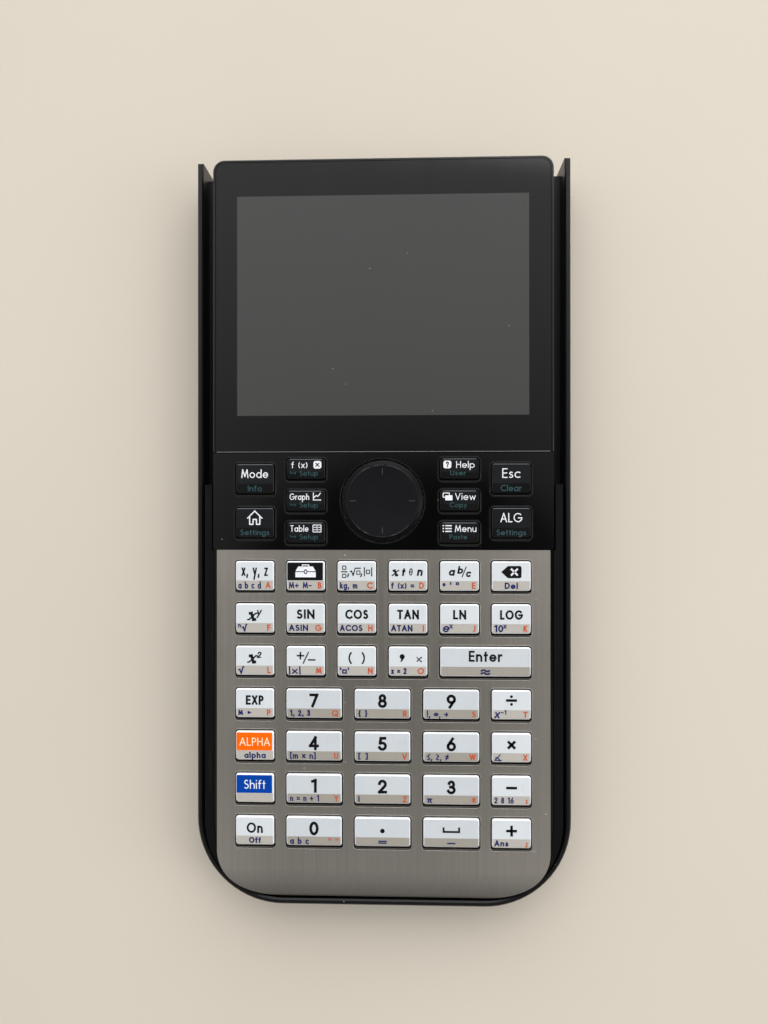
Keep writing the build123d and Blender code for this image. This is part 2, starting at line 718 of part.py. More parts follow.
def make_pad_gimbal():
    """Ring that rocks up and down in the bezel and carries the cursor pad's pins."""
    ring_at = (GIMBAL_R + GIMBAL_BORE_R) / 2
    low_z = deck_under_z - GIMBAL_T
    ring = rod(0, 0, low_z, deck_under_z, GIMBAL_R)
    ring -= rod(0, 0, 0, glass_z, GIMBAL_BORE_R)
    pin_z = deck_under_z - GIMBAL_T / 2
    bore = Rot(90, 0, 0) * Cylinder(PIN_R + PIN_CLEARANCE, 2 * GIMBAL_R + 2)
    ring -= Pos(0, 0, pin_z) * bore
    for side in (-1, 1):
        ring += rod(0, side * ring_at, dome_z, low_z, PAD_FOOT_R)
        x0, x1 = sorted((side * (GIMBAL_R - 0.5), side * (GIMBAL_R + PIN_LENGTH)))
        pin = Rot(0, 90, 0) * Cylinder(PIN_R, x1 - x0)
        ring += Pos((x0 + x1) / 2, 0, pin_z) * pin
    return Pos(0, pad_y, 0) * ring


def make_battery():
    """Flat pack with a label-free wrap and its contact block."""
    width, length, height = BATTERY
    pack = rounded(width, length, 1.5, door_z, door_z + height)
    edges = top_edges(pack, door_z + height - 0.01, door_z + height + 0.01)
    return Pos(0, BATTERY_Y, 0) * chamfer(edges, 0.4)


def make_battery_cover():
    """Door in the back with two hooks on one side, two catches on the other."""
    half_x = BATTERY[0] / 2 + BATTERY_FIT
    half_y = BATTERY[1] / 2 + BATTERY_FIT
    door = rounded(
        2 * (half_x + DOOR_RIM), 2 * (half_y + DOOR_RIM), DOOR_CORNER_R, back_z, door_z
    )
    thumb = Pos(0, half_y - THUMB_R / 2, back_z - THUMB_R + THUMB_DEPTH) * Sphere(THUMB_R)
    door -= thumb
    riser_t = BATTERY_FIT - 0.1
    for side_x in (-1, 1):
        for side_y in (-1, 1):
            x0 = side_x * HOOK_X - HOOK[0] / 2
            y0, y1 = sorted((side_y * (half_y - riser_t - 0.05), side_y * (half_y - 0.05)))
            top = floor_z + 0.1 + HOOK[2]
            door += block(x0, x0 + HOOK[0], y0, y1, door_z, top)
            y0, y1 = sorted((side_y * (half_y - riser_t - 0.05), side_y * (half_y + HOOK[1])))
            door += block(x0, x0 + HOOK[0], y0, y1, floor_z + 0.1, top)
    return Pos(0, BATTERY_Y, 0) * door


def make_screws():
    """Six identical screws with cross recesses."""
    head_z = back_z + SCREW_SINK - SCREW_HEAD_T
    seat_z = back_z + SCREW_SINK
    screw = rod(0, 0, head_z, seat_z, SCREW_HEAD_R)
    screw = chamfer(top_edges(screw, head_z - 0.01, head_z + 0.01), 0.3)
    screw += rod(0, 0, seat_z, seat_z + SCREW_LENGTH - 0.6, SCREW_R)
    arm = SCREW_HEAD_R * 0.6
    half = CROSS_W / 2
    screw -= block(-arm, arm, -half, half, head_z - 1, head_z + 0.7)
    screw -= block(-half, half, -arm, arm, head_z - 1, head_z + 0.7)
    return Compound(children=[Pos(x, y, 0) * screw for x, y in screw_places])


def main():
    """Build and write every node."""
    keys = key_layout()
    save(make_slide_cover(), "slide_cover")
    save(make_rear_housing(), "rear_housing")
    save(make_battery_cover(), "battery_cover")
    save(make_battery(), "battery")
    save(make_main_board(), "main_board")
    save(make_key_mat(keys), "key_mat")
    save(make_display_module(), "display_module")
    save(make_front_bezel(keys), "front_bezel")
    save(make_faceplate(keys), "faceplate")
    save(make_display_glass(), "display_glass")
    save(make_screws(), "screws")
    save(make_pad_gimbal(), "pad_gimbal")
    save(make_cursor_pad(), "cursor_pad")
    for node, *place in keys:
        save(make_key(*place), node)


main()
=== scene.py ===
"""Finishes and fine detail of the graphing calculator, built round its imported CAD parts."""
from math import cos, dist, hypot, pi, radians, sin, sqrt

import bmesh
import bpy
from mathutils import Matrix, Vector


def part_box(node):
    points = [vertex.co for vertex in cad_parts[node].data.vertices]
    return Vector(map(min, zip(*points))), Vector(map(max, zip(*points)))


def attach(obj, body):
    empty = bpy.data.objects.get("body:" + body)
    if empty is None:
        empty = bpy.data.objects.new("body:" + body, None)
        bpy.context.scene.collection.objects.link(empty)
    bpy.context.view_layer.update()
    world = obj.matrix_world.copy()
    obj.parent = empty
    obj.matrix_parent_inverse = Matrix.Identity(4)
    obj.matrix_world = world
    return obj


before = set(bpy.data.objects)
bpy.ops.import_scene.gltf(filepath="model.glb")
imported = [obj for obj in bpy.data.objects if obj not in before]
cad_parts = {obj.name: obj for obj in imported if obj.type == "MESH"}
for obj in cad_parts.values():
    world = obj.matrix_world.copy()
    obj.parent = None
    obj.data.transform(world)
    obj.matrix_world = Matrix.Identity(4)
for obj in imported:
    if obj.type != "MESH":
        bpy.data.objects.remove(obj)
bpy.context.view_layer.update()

MM = 0.001


# ---- colours and node maths -----------------------------------------------------------------
def tone(red, green, blue):
    """Linear colour from its 0 to 255 display values."""
    channels = [c / 255 for c in (red, green, blue)]
    linear = [c / 12.92 if c <= 0.04045 else ((c + 0.055) / 1.055) ** 2.4 for c in channels]
    return (*linear, 1.0)


def grey(value):
    return tone(value, value, value)


class Signal:
    """A socket of a tree; arithmetic on it adds the Math nodes."""

    def __init__(self, maker, socket):
        self.maker = maker
        self.socket = socket

    def math(self, operation, *others):
        return self.maker.math(operation, self, *others)

    def __add__(self, other):
        return self.math("ADD", other)

    def __mul__(self, other):
        return self.math("MULTIPLY", other)

    def __sub__(self, other):
        return self.math("SUBTRACT", other)

    def __rsub__(self, other):
        return self.maker.math("SUBTRACT", other, self)

    def __truediv__(self, other):
        return self.math("DIVIDE", other)

    def __pow__(self, other):
        return self.math("POWER", other)

    def __gt__(self, other):
        return self.math("GREATER_THAN", other)

    def __lt__(self, other):
        return self.math("LESS_THAN", other)

    def __abs__(self):
        return self.math("ABSOLUTE")

    __radd__ = __add__
    __rmul__ = __mul__


class Maker:
    """Adds nodes to one tree."""

    def __init__(self, tree):
        self.tree = tree
        tree.nodes.clear()

    def node(self, kind, settings=None, sockets=None, output=0):
        """One node: its settings first, then a value or a link for each socket."""
        made = self.tree.nodes.new(kind)
        for name, value in (settings or {}).items():
            if name == "stops":
                self.stops(made.color_ramp, value)
            else:
                setattr(made, name, value)
        for name, value in (sockets or {}).items():
            self.plug(made.inputs[name], value)
        return Signal(self, made.outputs[output]) if made.outputs else None

    def stops(self, ramp, stops):
        """Positions and colours of a ramp."""
        while len(ramp.elements) < len(stops):
            ramp.elements.new(0.5)
        for element, (position, colour) in zip(ramp.elements, stops):
            element.position = position
            element.color = colour

    def plug(self, socket, value):
        if isinstance(value, Signal):
            self.tree.links.new(value.socket, socket)
        else:
            socket.default_value = value

    def math(self, operation, *values):
        return self.node("ShaderNodeMath", {"operation": operation}, dict(enumerate(values)))

    def part(self, vector, axis):
        return self.node("ShaderNodeSeparateXYZ", {}, {0: vector}, axis)

    def mix(self, first, second, share):
        """Colour between two colours."""
        return self.node("ShaderNodeMix", {"data_type": "RGBA"}, {0: share, 6: first, 7: second}, 2)

    def scaled(self, colour, amount):
        """Colour made lighter or darker."""
        plain = colour if isinstance(colour, Signal) else colour[:3]
        return self.node("ShaderNodeVectorMath", {"operation": "SCALE"}, {0: plain, 3: amount})

    def clamped(self, value):
        """The value kept between 0 and 1."""
        return self.node("ShaderNodeClamp", {}, {0: value})

    def ramped(self, value, low, high, start, end):
        """From start, where the value is low, to end, where it is high."""
        return self.node("ShaderNodeMapRange", {}, dict(enumerate((value, low, high, start, end))))

    def between(self, value, low, high, blur):
        """1 where value lies between low and high, fading over blur."""
        middle, half = (low + high) / 2, (high - low) / 2
        return self.clamped((half - abs(value - middle)) / blur + 0.5)


class Finish(Maker):
    """A material on the object's own coordinates, in metres; its marks are sized in millimetres."""

    def __init__(self, name, **fixed):
        self.material = bpy.data.materials.new(name)
        self.material.use_nodes = True
        super().__init__(self.material.node_tree)
        self.shader = self.tree.nodes.new("ShaderNodeBsdfPrincipled")
        self.node("ShaderNodeOutputMaterial", {}, {"Surface": Signal(self, self.shader.outputs[0])})
        self.feed(**fixed)
        self.place = self.node("ShaderNodeTexCoord", output="Object")
        self.x, self.y, self.z = (self.part(self.place, axis) for axis in range(3))

    def feed(self, **sockets):
        """Values or links of the shader's sockets."""
        for name, value in sockets.items():
            self.plug(self.shader.inputs[name.replace("_", " ")], value)
        return self.material

    def normal(self, axis):
        """One part of the surface's own direction."""
        return self.part(self.node("ShaderNodeTexCoord", output="Normal"), axis)

    def moved(self, scale):
        return self.node("ShaderNodeMapping", {}, {"Vector": self.place, "Scale": scale})

    def noise(self, size, stretch=(1, 1, 1), detail=3.0, roughness=0.5):
        """Cloudy pattern with marks of about one size."""
        place = self.moved([1 / (size * MM * s) for s in stretch])
        return self.node("ShaderNodeTexNoise", {}, {
            "Vector": place, "Scale": 1.0, "Detail": detail, "Roughness": roughness,
        })

    def specks(self, spacing, radius, share):
        """1 on scattered round dust specks, 0 elsewhere."""
        place = self.moved([1 / (spacing * MM)] * 3)
        near, chance = (
            self.node("ShaderNodeTexVoronoi", {}, {"Vector": place, "Scale": 1.0}, output)
            for output in ("Distance", "Color")
        )
        chance = self.node("ShaderNodeSeparateColor", {}, {0: chance})
        return (near < radius / spacing) * (chance < share)

    def bump(self, height, distance, strength):
        sockets = {"Height": height, "Distance": distance * MM, "Strength": strength}
        return self.node("ShaderNodeBump", {}, sockets, "Normal")


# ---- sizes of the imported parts, in millimetres ----------------------------------------------
def corners(node):
    """Lowest and highest corner of a part."""
    return [Vector(c) * 1000 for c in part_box(node)]


WHITE_KEYS = (
    "variables toolbox template xtn fraction delete power sin cos tan ln log square plus_minus brackets "
    "comma enter exponent 7 8 9 divide alpha 4 5 6 multiply shift 1 2 3 minus on 0 point space plus"
).split()
BLACK_KEYS = "apps home formula graph table escape algebra help view menu".split()
NUMBER_CAPS = [name for name in WHITE_KEYS if name.isdigit() or name in ("point", "space", "enter")]
OTHER_CAPS = [name for name in WHITE_KEYS if name not in NUMBER_CAPS]

FLANGE_SIDE = 1.5       # flange past the cap, both sides together
FLANGE_LENGTH = 1.75    # and along the length
CAP_SHIFT = 0.125       # cap's middle above the flange's middle
CAP_CORNER = 0.6
LARGE_CAP = 6           # large black caps are longer than this
FACET_SHARE = 0.34      # sloped lower part of a cap's length
FACET_DROP = {True: 0.5, False: 0.3}    # its fall, on white and on black caps
HOLE_GAP = 0.25         # opening past the cap
HOLE_GAP_LOW = 0.5      # and at its lower side

DISPLAY_HALF_WIDTH = 35.04
DISPLAY_HALF_LENGTH = 26.45
DISPLAY_Y = 54.7
DISPLAY_CELL = 0.98     # dark cell at the top of the display module
DISPLAY_TRAY = 3.05     # cell and steel tray; the ribbon lies below
BOARD_LOW = 8.5
BOARD_HIGH = 9.7
CHIP_HEIGHT = 1.4       # chips hang under the board, contacts lower still
CONTACT_END = 4.0       # dark end of the battery

glass_low, glass_high = corners("display_glass")
plate_low, plate_high = corners("faceplate")
pad_low, pad_high = corners("cursor_pad")
PLATE_BEND = 7.6        # length of the plate's bent end, darkened by painted reflection
PANEL_Z = glass_high.z - 0.3
PAD_Y = (pad_low.y + pad_high.y) / 2
PAD_TOP_R = 8.8
PAD_DISH_R = 95.0
PAD_DISH_SAG = PAD_DISH_R - sqrt(PAD_DISH_R**2 - (PAD_TOP_R - 0.5) ** 2)
OPENING_R = 10.15


class Cap:
    """Place and size of one key's cap."""

    def __init__(self, name):
        low, high = corners(f"key_{name}")
        self.x = (low.x + high.x) / 2
        self.y = (low.y + high.y) / 2 + CAP_SHIFT
        self.width = high.x - low.x - FLANGE_SIDE
        self.length = high.y - low.y - FLANGE_LENGTH
        self.large = self.length > LARGE_CAP
        self.top = high.z
        self.facet = (FACET_SHARE - 0.5) * self.length
        self.slope = FACET_DROP[name in WHITE_KEYS] / (FACET_SHARE * self.length)

    def seat(self, x, y, z):
        """A point of flat print, laid on the cap's top."""
        down = max(0.0, self.facet - y) * self.slope
        return Vector((self.x + x, self.y + y, self.top + z - down)) * MM

    def along(self, share):
        """Height on the cap, from its upper edge."""
        return self.length * (0.5 - share)


# ---- finishes -------------------------------------------------------------------------------
def black_plastic(name, base, grain, rough, dust=0.0, shine=0.35):
    """Satin moulded plastic with a fine spark-eroded grain, faint wear and dust."""
    made = Finish(name, Specular_IOR_Level=shine)
    fine = made.noise(grain)
    cloud = made.noise(14)
    scuff = made.clamped((made.noise(1.2, (1, 14, 1), 4.0) - 0.62) * 6.0)
    colour = made.scaled(base, 0.8 + 0.4 * cloud + 0.25 * fine)
    colour = made.mix(colour, tone(96, 94, 90), scuff * 0.10)
    if dust:
        colour = made.mix(colour, tone(190, 186, 178), made.specks(1.6, 0.11, dust))
    return made.feed(
        Base_Color=colour,
        Roughness=rough + 0.10 * cloud - 0.08 * scuff,
        Normal=made.bump(fine, 0.012, 0.6),
    )


def gloss_black():
    """Piano-black moulding with faint smears and a few specks of dust."""
    made = Finish("gloss_black")
    smear = made.noise(9, (1, 2, 1), 4.0)
    fine = made.noise(0.5, detail=2.0)
    dust = made.specks(2.6, 0.12, 0.12)
    colour = made.mix(grey(3), grey(9), smear)
    return made.feed(
        Base_Color=made.mix(colour, tone(150, 148, 142), dust),
        Roughness=0.05 + 0.10 * smear + 0.4 * dust,
        Normal=made.bump(fine, 0.001, 0.4),
    )


def display_glass():
    """Glass printed black behind its border, over the grey of a display that is switched off."""
    made = Finish("display_glass")
    across = made.between(made.x, -DISPLAY_HALF_WIDTH * MM, DISPLAY_HALF_WIDTH * MM, 0.12 * MM)
    low, high = (DISPLAY_Y - DISPLAY_HALF_LENGTH) * MM, (DISPLAY_Y + DISPLAY_HALF_LENGTH) * MM
    lit = across * made.between(made.y, low, high, 0.12 * MM)
    smear = made.noise(7, (1, 3, 1), 4.0)
    dust = made.specks(3.0, 0.10, 0.14)
    colour = made.mix(tone(5, 5, 4), tone(66, 66, 65), lit)
    colour = made.scaled(colour, 0.94 + 0.12 * made.noise(40, detail=2.0))
    return made.feed(
        Base_Color=made.mix(colour, tone(165, 163, 158), dust),
        Roughness=0.05 + 0.06 * smear + 0.5 * dust,
    )


def brushed_plate():
    """Thin sheet brushed along its length, with painted reflection: lighter towards its sides and ends,
    darker where it bends down.
    """
    made = Finish("brushed_plate")
    streak = made.noise(0.18, (1, 300, 1), roughness=0.6)
    broad = made.noise(0.9, (1, 80, 1), roughness=0.7)
    cloud = made.noise(22)
    dust = made.specks(2.4, 0.14, 0.30)
    # painted reflection: lighter towards the long sides and away from the middle rows, darker along the bent
    # end
    painted_side_light = made.ramped(abs(made.x + 4 * MM), 18 * MM, 42 * MM, 1.0, 1.2)
    painted_end_light = made.ramped(abs(made.y + 42 * MM), 12 * MM, 36 * MM, 0.97, 1.1)
    painted_bend_shade = made.ramped(made.y, plate_low.y * MM, (plate_low.y + PLATE_BEND) * MM, 0.38, 1.0)
    colour = made.mix(tone(159, 154, 146), tone(181, 175, 166), 0.5 * streak + 0.5 * cloud)
    colour = made.scaled(colour, (0.86 + 0.22 * streak + 0.14 * broad) * painted_side_light * painted_bend_shade * painted_end_light)
    return made.feed(
        Base_Color=made.mix(colour, tone(224, 220, 210), dust * 0.8),
        Metallic=0.92 - 0.9 * dust,
        Roughness=0.27 + 0.08 * streak + 0.05 * cloud + 0.3 * dust,
        Normal=made.bump(streak + 0.4 * broad, 0.008, 0.5),
    )


def bright_edge():
    """Polished cut edge of the brushed sheet."""
    made = Finish("bright_edge")
    wear = made.noise(2.2, detail=2.0)
    return made.feed(
        Base_Color=made.mix(tone(150, 145, 137), tone(196, 191, 182), wear),
        Metallic=0.9,
        Roughness=0.22 + 0.14 * wear,
    )


def dark_edge(name, shade):
    """Rounded edge of an opening in the black moulding, or a dark fold put into the gap round a key as
    painted shade.
    """
    made = Finish(name, Specular_IOR_Level=0.3)
    wear = made.noise(0.9)
    return made.feed(Base_Color=made.mix(grey(shade), grey(2 * shade), wear), Roughness=0.14 + 0.14 * wear)


def glass_edge_highlight():
    """Lower edge of the glass, pale all along as a painted highlight, with a fine grain."""
    made = Finish("ground_glass")
    grain = made.noise(0.35)
    long = made.noise(12, detail=2.0)
    return made.feed(
        Base_Color=made.mix(tone(86, 84, 88), tone(120, 118, 122), 0.5 * grain + 0.5 * long),
        Roughness=0.24 + 0.2 * grain,
    )


def round_edges(made):
    """Where a cap's edges are round, and how far they face its upper side; these place the painted highlight
    on the caps' edges.
    """
    return made.clamped((0.93 - made.normal(2)) * 12.0), made.clamped(made.normal(1) * 4.0)


def white_cap(name, face, facet):
    """White key: smooth face, lower facet in a darker, warmer tone as painted shade, painted highlight on the
    rounded edges that is strongest towards the upper side, dark below the plate.
    """
    made = Finish(name, Coat_Weight=0.12, Coat_Roughness=0.2)
    rounded, upper = round_edges(made)
    shaded_slope = made.clamped((-0.05 - made.normal(1)) * 14.0) * (made.normal(2) > 0.9)
    cloud = made.noise(5)
    fine = made.noise(0.22, detail=2.0)
    grime = made.clamped((made.noise(1.4, (1, 2.5, 1)) - 0.6) * 5.0)
    buried = made.z < (plate_high.z - 0.2) * MM
    # painted shade: the sloped lower facet takes a darker, warmer tone
    colour = made.mix(face, facet, shaded_slope)
    colour = made.mix(colour, tone(150, 140, 122), grime * 0.12)
    # painted highlight on the rounded edges, stronger on those facing up the cap
    colour = made.mix(colour, tone(252, 253, 254), rounded * (0.7 + 0.3 * upper))
    colour = made.scaled(colour, 0.96 + 0.08 * cloud)
    return made.feed(
        Base_Color=made.mix(colour, grey(6), buried),
        Roughness=0.26 + 0.10 * cloud + 0.06 * grime + 0.3 * buried,
        Normal=made.bump(fine, 0.002, 0.5),
    )


def black_cap(name):
    """Black key: satin face with a painted sheen across the middle of its flat top, near black at its sides
    and facet, and a painted highlight on its upper edge.
    """
    cap = Cap(name)
    made = Finish(f"black_cap_{name}", Specular_IOR_Level=0.4)
    rounded, upper = round_edges(made)
    half = cap.width / 2 - (0.35 if cap.large else 0.75)
    face = made.between(made.x, (cap.x - half) * MM, (cap.x + half) * MM, 0.25 * MM)
    flat = (made.y > (cap.y + cap.facet) * MM) * (made.normal(2) > 0.9)
    cloud = made.noise(5)
    fine = made.noise(0.22, detail=2.0)
    # painted sheen on the middle of the flat top; the sides and facet stay near black
    colour = made.mix(tone(4, 4, 5), tone(12, 16, 20), flat * face)
    # painted highlight on the upper rounded edge
    colour = made.mix(colour, tone(100, 102, 106), rounded * upper * face)
    return made.feed(
        Base_Color=made.scaled(colour, 0.9 + 0.2 * cloud),
        Roughness=0.24 + 0.12 * cloud,
        Normal=made.bump(fine, 0.002, 0.5),
    )


def turned_disc():
    """Cursor pad: fine rings turned round its middle, its sloped edge darkened with painted shade."""
    made = Finish("turned_disc", Specular_IOR_Level=0.16)
    flat = made.node("ShaderNodeCombineXYZ", {}, {0: made.x, 1: made.y - PAD_Y * MM, 2: 0.0})
    out = made.node("ShaderNodeVectorMath", {"operation": "LENGTH"}, {0: flat}, 1)
    wave = made.math("SINE", out * (2 * pi / (0.22 * MM)))
    uneven = made.node("ShaderNodeTexNoise", {"noise_dimensions": "1D"}, {
        "W": out * (1 / (0.3 * MM)), "Scale": 1.0, "Detail": 3.0,
    })
    shaded_slope = made.clamped((0.98 - made.normal(2)) * 30.0)
    colour = made.mix(tone(14, 14, 16), tone(26, 26, 29), uneven)
    return made.feed(
        # painted shade: the sloped edge near black
        Base_Color=made.mix(made.scaled(colour, 0.75 + 0.5 * made.noise(6)), grey(2), shaded_slope),
        Metallic=0.1 + 0.1 * uneven,
        Roughness=0.30 + 0.16 * uneven,
        Normal=made.bump(0.5 * wave + uneven, 0.009, 0.7),
    )


def pad_edge():
    """Edge of the cursor pad, dark, with a painted highlight in patches at its upper and lower side."""
    made = Finish("pad_edge")
    aside = made.ramped(abs(made.y - PAD_Y * MM), 4 * MM, 8 * MM, 0.0, 1.0)
    wear = made.noise(1.6)
    highlight_patches = made.clamped((wear - 0.38) * 3.0)
    return made.feed(
        # painted highlight at the top and bottom of the pad's edge
        Base_Color=made.mix(tone(12, 12, 13), tone(150, 152, 156), aside * highlight_patches),
        Roughness=0.2 + 0.2 * wear,
    )


def ink(name, colour, rough=0.45, shine=0.3):
    """Printing ink: slightly uneven in depth and gloss."""
    made = Finish(name, Specular_IOR_Level=shine)
    body = made.noise(0.5)
    return made.feed(
        Base_Color=made.scaled(colour, 0.88 + 0.24 * body),
        Roughness=rough + 0.15 * body,
        Normal=made.bump(body, 0.002, 0.5),
    )


def silicone():
    """Grey key mat, a little cloudy."""
    made = Finish("silicone")
    fine = made.noise(0.3, detail=2.0)
    return made.feed(
        Base_Color=made.mix(tone(150, 150, 148), tone(172, 171, 168), made.noise(8)),
        Roughness=0.5 + 0.15 * fine,
        Normal=made.bump(fine, 0.004, 0.4),
    )


def circuit_board():
    """Green lacquered board with copper tracks, black chips under it and bright contacts."""
    made = Finish("circuit_board")
    lacquer = made.noise(3)
    cells = made.node(
        "ShaderNodeTexBrick",
        {"offset": 0.5},
        {"Vector": made.moved([1 / (2.2 * MM)] * 3), "Scale": 1.0, "Mortar Size": 0.04, "Mortar Smooth": 0.1},
        "Fac",
    )
    in_board = (made.z > (BOARD_LOW - 0.05) * MM) * (made.z < (BOARD_HIGH + 0.05) * MM)
    metal = (made.z < (BOARD_LOW - CHIP_HEIGHT) * MM) * 1.0
    board = made.mix(tone(14, 66, 40), tone(20, 84, 52), lacquer)
    board = made.mix(board, tone(42, 118, 70), cells * 0.7)
    chip = made.mix(tone(26, 26, 28), tone(36, 36, 38), lacquer)
    colour = made.mix(chip, tone(188, 186, 178), metal)
    return made.feed(
        Base_Color=made.mix(colour, board, in_board),
        Metallic=metal * 0.9,
        Roughness=0.34 + 0.2 * lacquer,
        Normal=made.bump(cells, 0.02, 0.3),
    )


def battery_wrap():
    """Silver-grey film with a dark end by the contacts."""
    made = Finish("battery_wrap")
    crease = made.noise(2.5, (3, 1, 1), 4.0)
    end = made.y < (corners("battery")[0].y + CONTACT_END) * MM
    colour = made.mix(tone(96, 100, 104), tone(128, 131, 134), crease)
    return made.feed(
        Base_Color=made.mix(colour, tone(28, 28, 30), end),
        Metallic=0.5 - 0.5 * end,
        Roughness=0.34 + 0.2 * crease,
        Normal=made.bump(crease, 0.05, 0.5),
    )


def display_back():
    """Display tray in pressed steel, dark cell and amber ribbon."""
    made = Finish("display_back")
    top = corners("display_module")[1].z
    ribbon = made.z < (top - DISPLAY_TRAY) * MM
    cell = made.z > (top - DISPLAY_CELL) * MM
    wear = made.noise(4)
    colour = made.mix(tone(150, 152, 154), tone(176, 177, 178), wear)
    colour = made.mix(colour, tone(14, 15, 18), cell)
    return made.feed(
        Base_Color=made.mix(colour, tone(164, 92, 30), ribbon),
        Metallic=0.85 - 0.85 * (cell + ribbon),
        Roughness=0.3 + 0.2 * wear,
    )


def screw_steel():
    """Blackened steel with bare wear in the recess."""
    made = Finish("screw_steel")
    wear = made.noise(0.5, detail=4.0)
    return made.feed(
        Base_Color=made.mix(tone(34, 33, 34), tone(92, 90, 88), wear ** 2.0),
        Metallic=0.9,
        Roughness=0.3 + 0.2 * wear,
    )


def floor_paint():
    """Plain pale floor."""
    made = Finish("floor")
    return made.feed(
        Base_Color=made.mix(tone(214, 204, 188), tone(222, 213, 198), made.noise(120)),
        Roughness=0.75,
    )


def dress(material, *nodes):
    """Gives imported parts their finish."""
    for node in nodes:
        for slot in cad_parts[node].material_slots:
            slot.material = material


dress(black_plastic("cover_plastic", tone(8, 7, 7), 0.10, 0.30, dust=0.10), "slide_cover")
dress(black_plastic("housing_plastic", grey(4), 0.16, 0.36, shine=0.2), "rear_housing", "battery_cover")
dress(gloss_black(), "front_bezel")
dress(display_glass(), "display_glass")
dress(brushed_plate(), "faceplate")
# the facet tones are painted shade for the sloped lower facets
for cap_name, caps, face_tone, facet_shade_tone in (
    ("number_cap", NUMBER_CAPS, tone(208, 213, 217), tone(174, 168, 157)),
    ("white_cap", OTHER_CAPS, tone(220, 225, 228), tone(200, 195, 186)),
):
    dress(white_cap(cap_name, face_tone, facet_shade_tone), *(f"key_{key}" for key in caps))
for key in BLACK_KEYS:
    dress(black_cap(key), f"key_{key}")
dress(turned_disc(), "cursor_pad")
dress(black_plastic("gimbal_plastic", tone(38, 38, 40), 0.12, 0.4), "pad_gimbal")
dress(silicone(), "key_mat")
dress(circuit_board(), "main_board")
dress(battery_wrap(), "battery")
dress(display_back(), "display_module")
dress(screw_steel(), "screws")

INKS = {
    "black": ink("ink_black", tone(2, 2, 4), 0.5, 0.2),
    "blue": ink("ink_blue", tone(16, 32, 100)),
    "orange": ink("ink_orange", tone(212, 92, 52)),
    "white": ink("ink_white", tone(240, 242, 246)),
    "teal": ink("ink_teal", tone(52, 84, 88)),
    "faint": ink("ink_faint", tone(74, 76, 80)),
    "cream": ink("ink_cream", tone(255, 232, 196)),
    "orange_field": ink("field_orange", tone(255, 108, 4), 0.3, 0.12),
    "blue_field": ink("field_blue", tone(0, 66, 164), 0.3, 0.12),
}


# ---- outlines and strokes, in millimetres ---------------------------------------------------
MITRE_LIMIT = 2.2       # longest corner of a stroke, in halves of its width
LEAST_TURN = 0.3
SHARP_TURN = 0.6        # a line is cut where it turns more than this, as a cosine
SAME_POINT = 1e-4


def arc(x, y, radius_x, radius_y, start, end, steps=18):
    """Points along part of an ellipse, angles in degrees."""
    turns = [radians(start + (end - start) * i / steps) for i in range(steps + 1)]
    return [(x + radius_x * cos(t), y + radius_y * sin(t)) for t in turns]


def circle(x, y, radius_x, radius_y):
    """Closed loop; its last point is its first."""
    return arc(x, y, radius_x, radius_y, 0, 360, 22)


def rounded_outline(width, height, corner, x=0.0, y=0.0, loop=False):
    """Rectangle with round corners about x, y; as a loop it ends on its first point."""
    a, b = width / 2 - corner, height / 2 - corner
    points = []
    for side_x, side_y, start in ((1, 1, 0), (-1, 1, 90), (-1, -1, 180), (1, -1, 270)):
        points += arc(x + side_x * a, y + side_y * b, corner, corner, start, start + 90, 4)
    return points + points[:1] if loop else points


def offsets(points, half, closed):
    """Left and right edges of a stroke, mitred at its corners."""
    count = len(points)
    left, right = [], []
    for i, (x, y) in enumerate(points):
        before = points[i - 1] if i or closed else None
        after = points[(i + 1) % count] if i < count - 1 or closed else None
        ways = []
        for a, b in ((before, (x, y)), ((x, y), after)):
            if a and b:
                length = hypot(b[0] - a[0], b[1] - a[1])
                ways.append(((b[0] - a[0]) / length, (b[1] - a[1]) / length))
        way_x = sum(w[0] for w in ways)
        way_y = sum(w[1] for w in ways)
        length = max(hypot(way_x, way_y), 1e-6)
        way_x, way_y = way_x / length, way_y / length
        turn = max(way_x * ways[0][0] + way_y * ways[0][1], LEAST_TURN)
        mitre = min(half / turn, MITRE_LIMIT * half)
        left.append((x - way_y * mitre, y + way_x * mitre))
        right.append((x + way_y * mitre, y - way_x * mitre))
    return left, right


def runs(points):
    """A line cut at its sharp corners."""
    out, run = [], points[:1]
    for i in range(1, len(points)):
        run.append(points[i])
        if i < len(points) - 1:
            (a, b), (c, d), (e, f) = points[i - 1:i + 2]
            turn = (c - a) * (e - c) + (d - b) * (f - d)
            if turn < SHARP_TURN * dist(points[i - 1], points[i]) * dist(points[i], points[i + 1]):
                out.append(run)
                run = [points[i]]
    return out + [run]


def lengthened(points, more):
    """An open line carried on past both its ends."""
    out = list(points)
    for end, inner in ((0, 1), (-1, -2)):
        (x, y), (a, b) = points[end], points[inner]
        length = hypot(x - a, y - b)
        out[end] = (x + (x - a) / length * more, y + (y - b) / length * more)
    return out


def creased(points, level):
    """The same line with a point wherever it crosses the level, where the cap's top bends."""
    out = points[:1]
    for (a, b), (c, d) in zip(points, points[1:]):
        if min(b, d) + 0.01 < level < max(b, d) - 0.01:
            out.append((a + (c - a) * (level - b) / (d - b), level))
        out.append((c, d))
    return out


LOW = 0.62      # height of the small letters, of the capitals'
BOWL = LOW / 2


def bowl():
    return circle(BOWL, BOWL, BOWL, BOWL)


def hump(x, radius, height):
    """Round top of a small letter, with the leg on its right."""
    return arc(x, LOW - height, radius, height, 178, 0, 10) + [(x + radius, 0)]


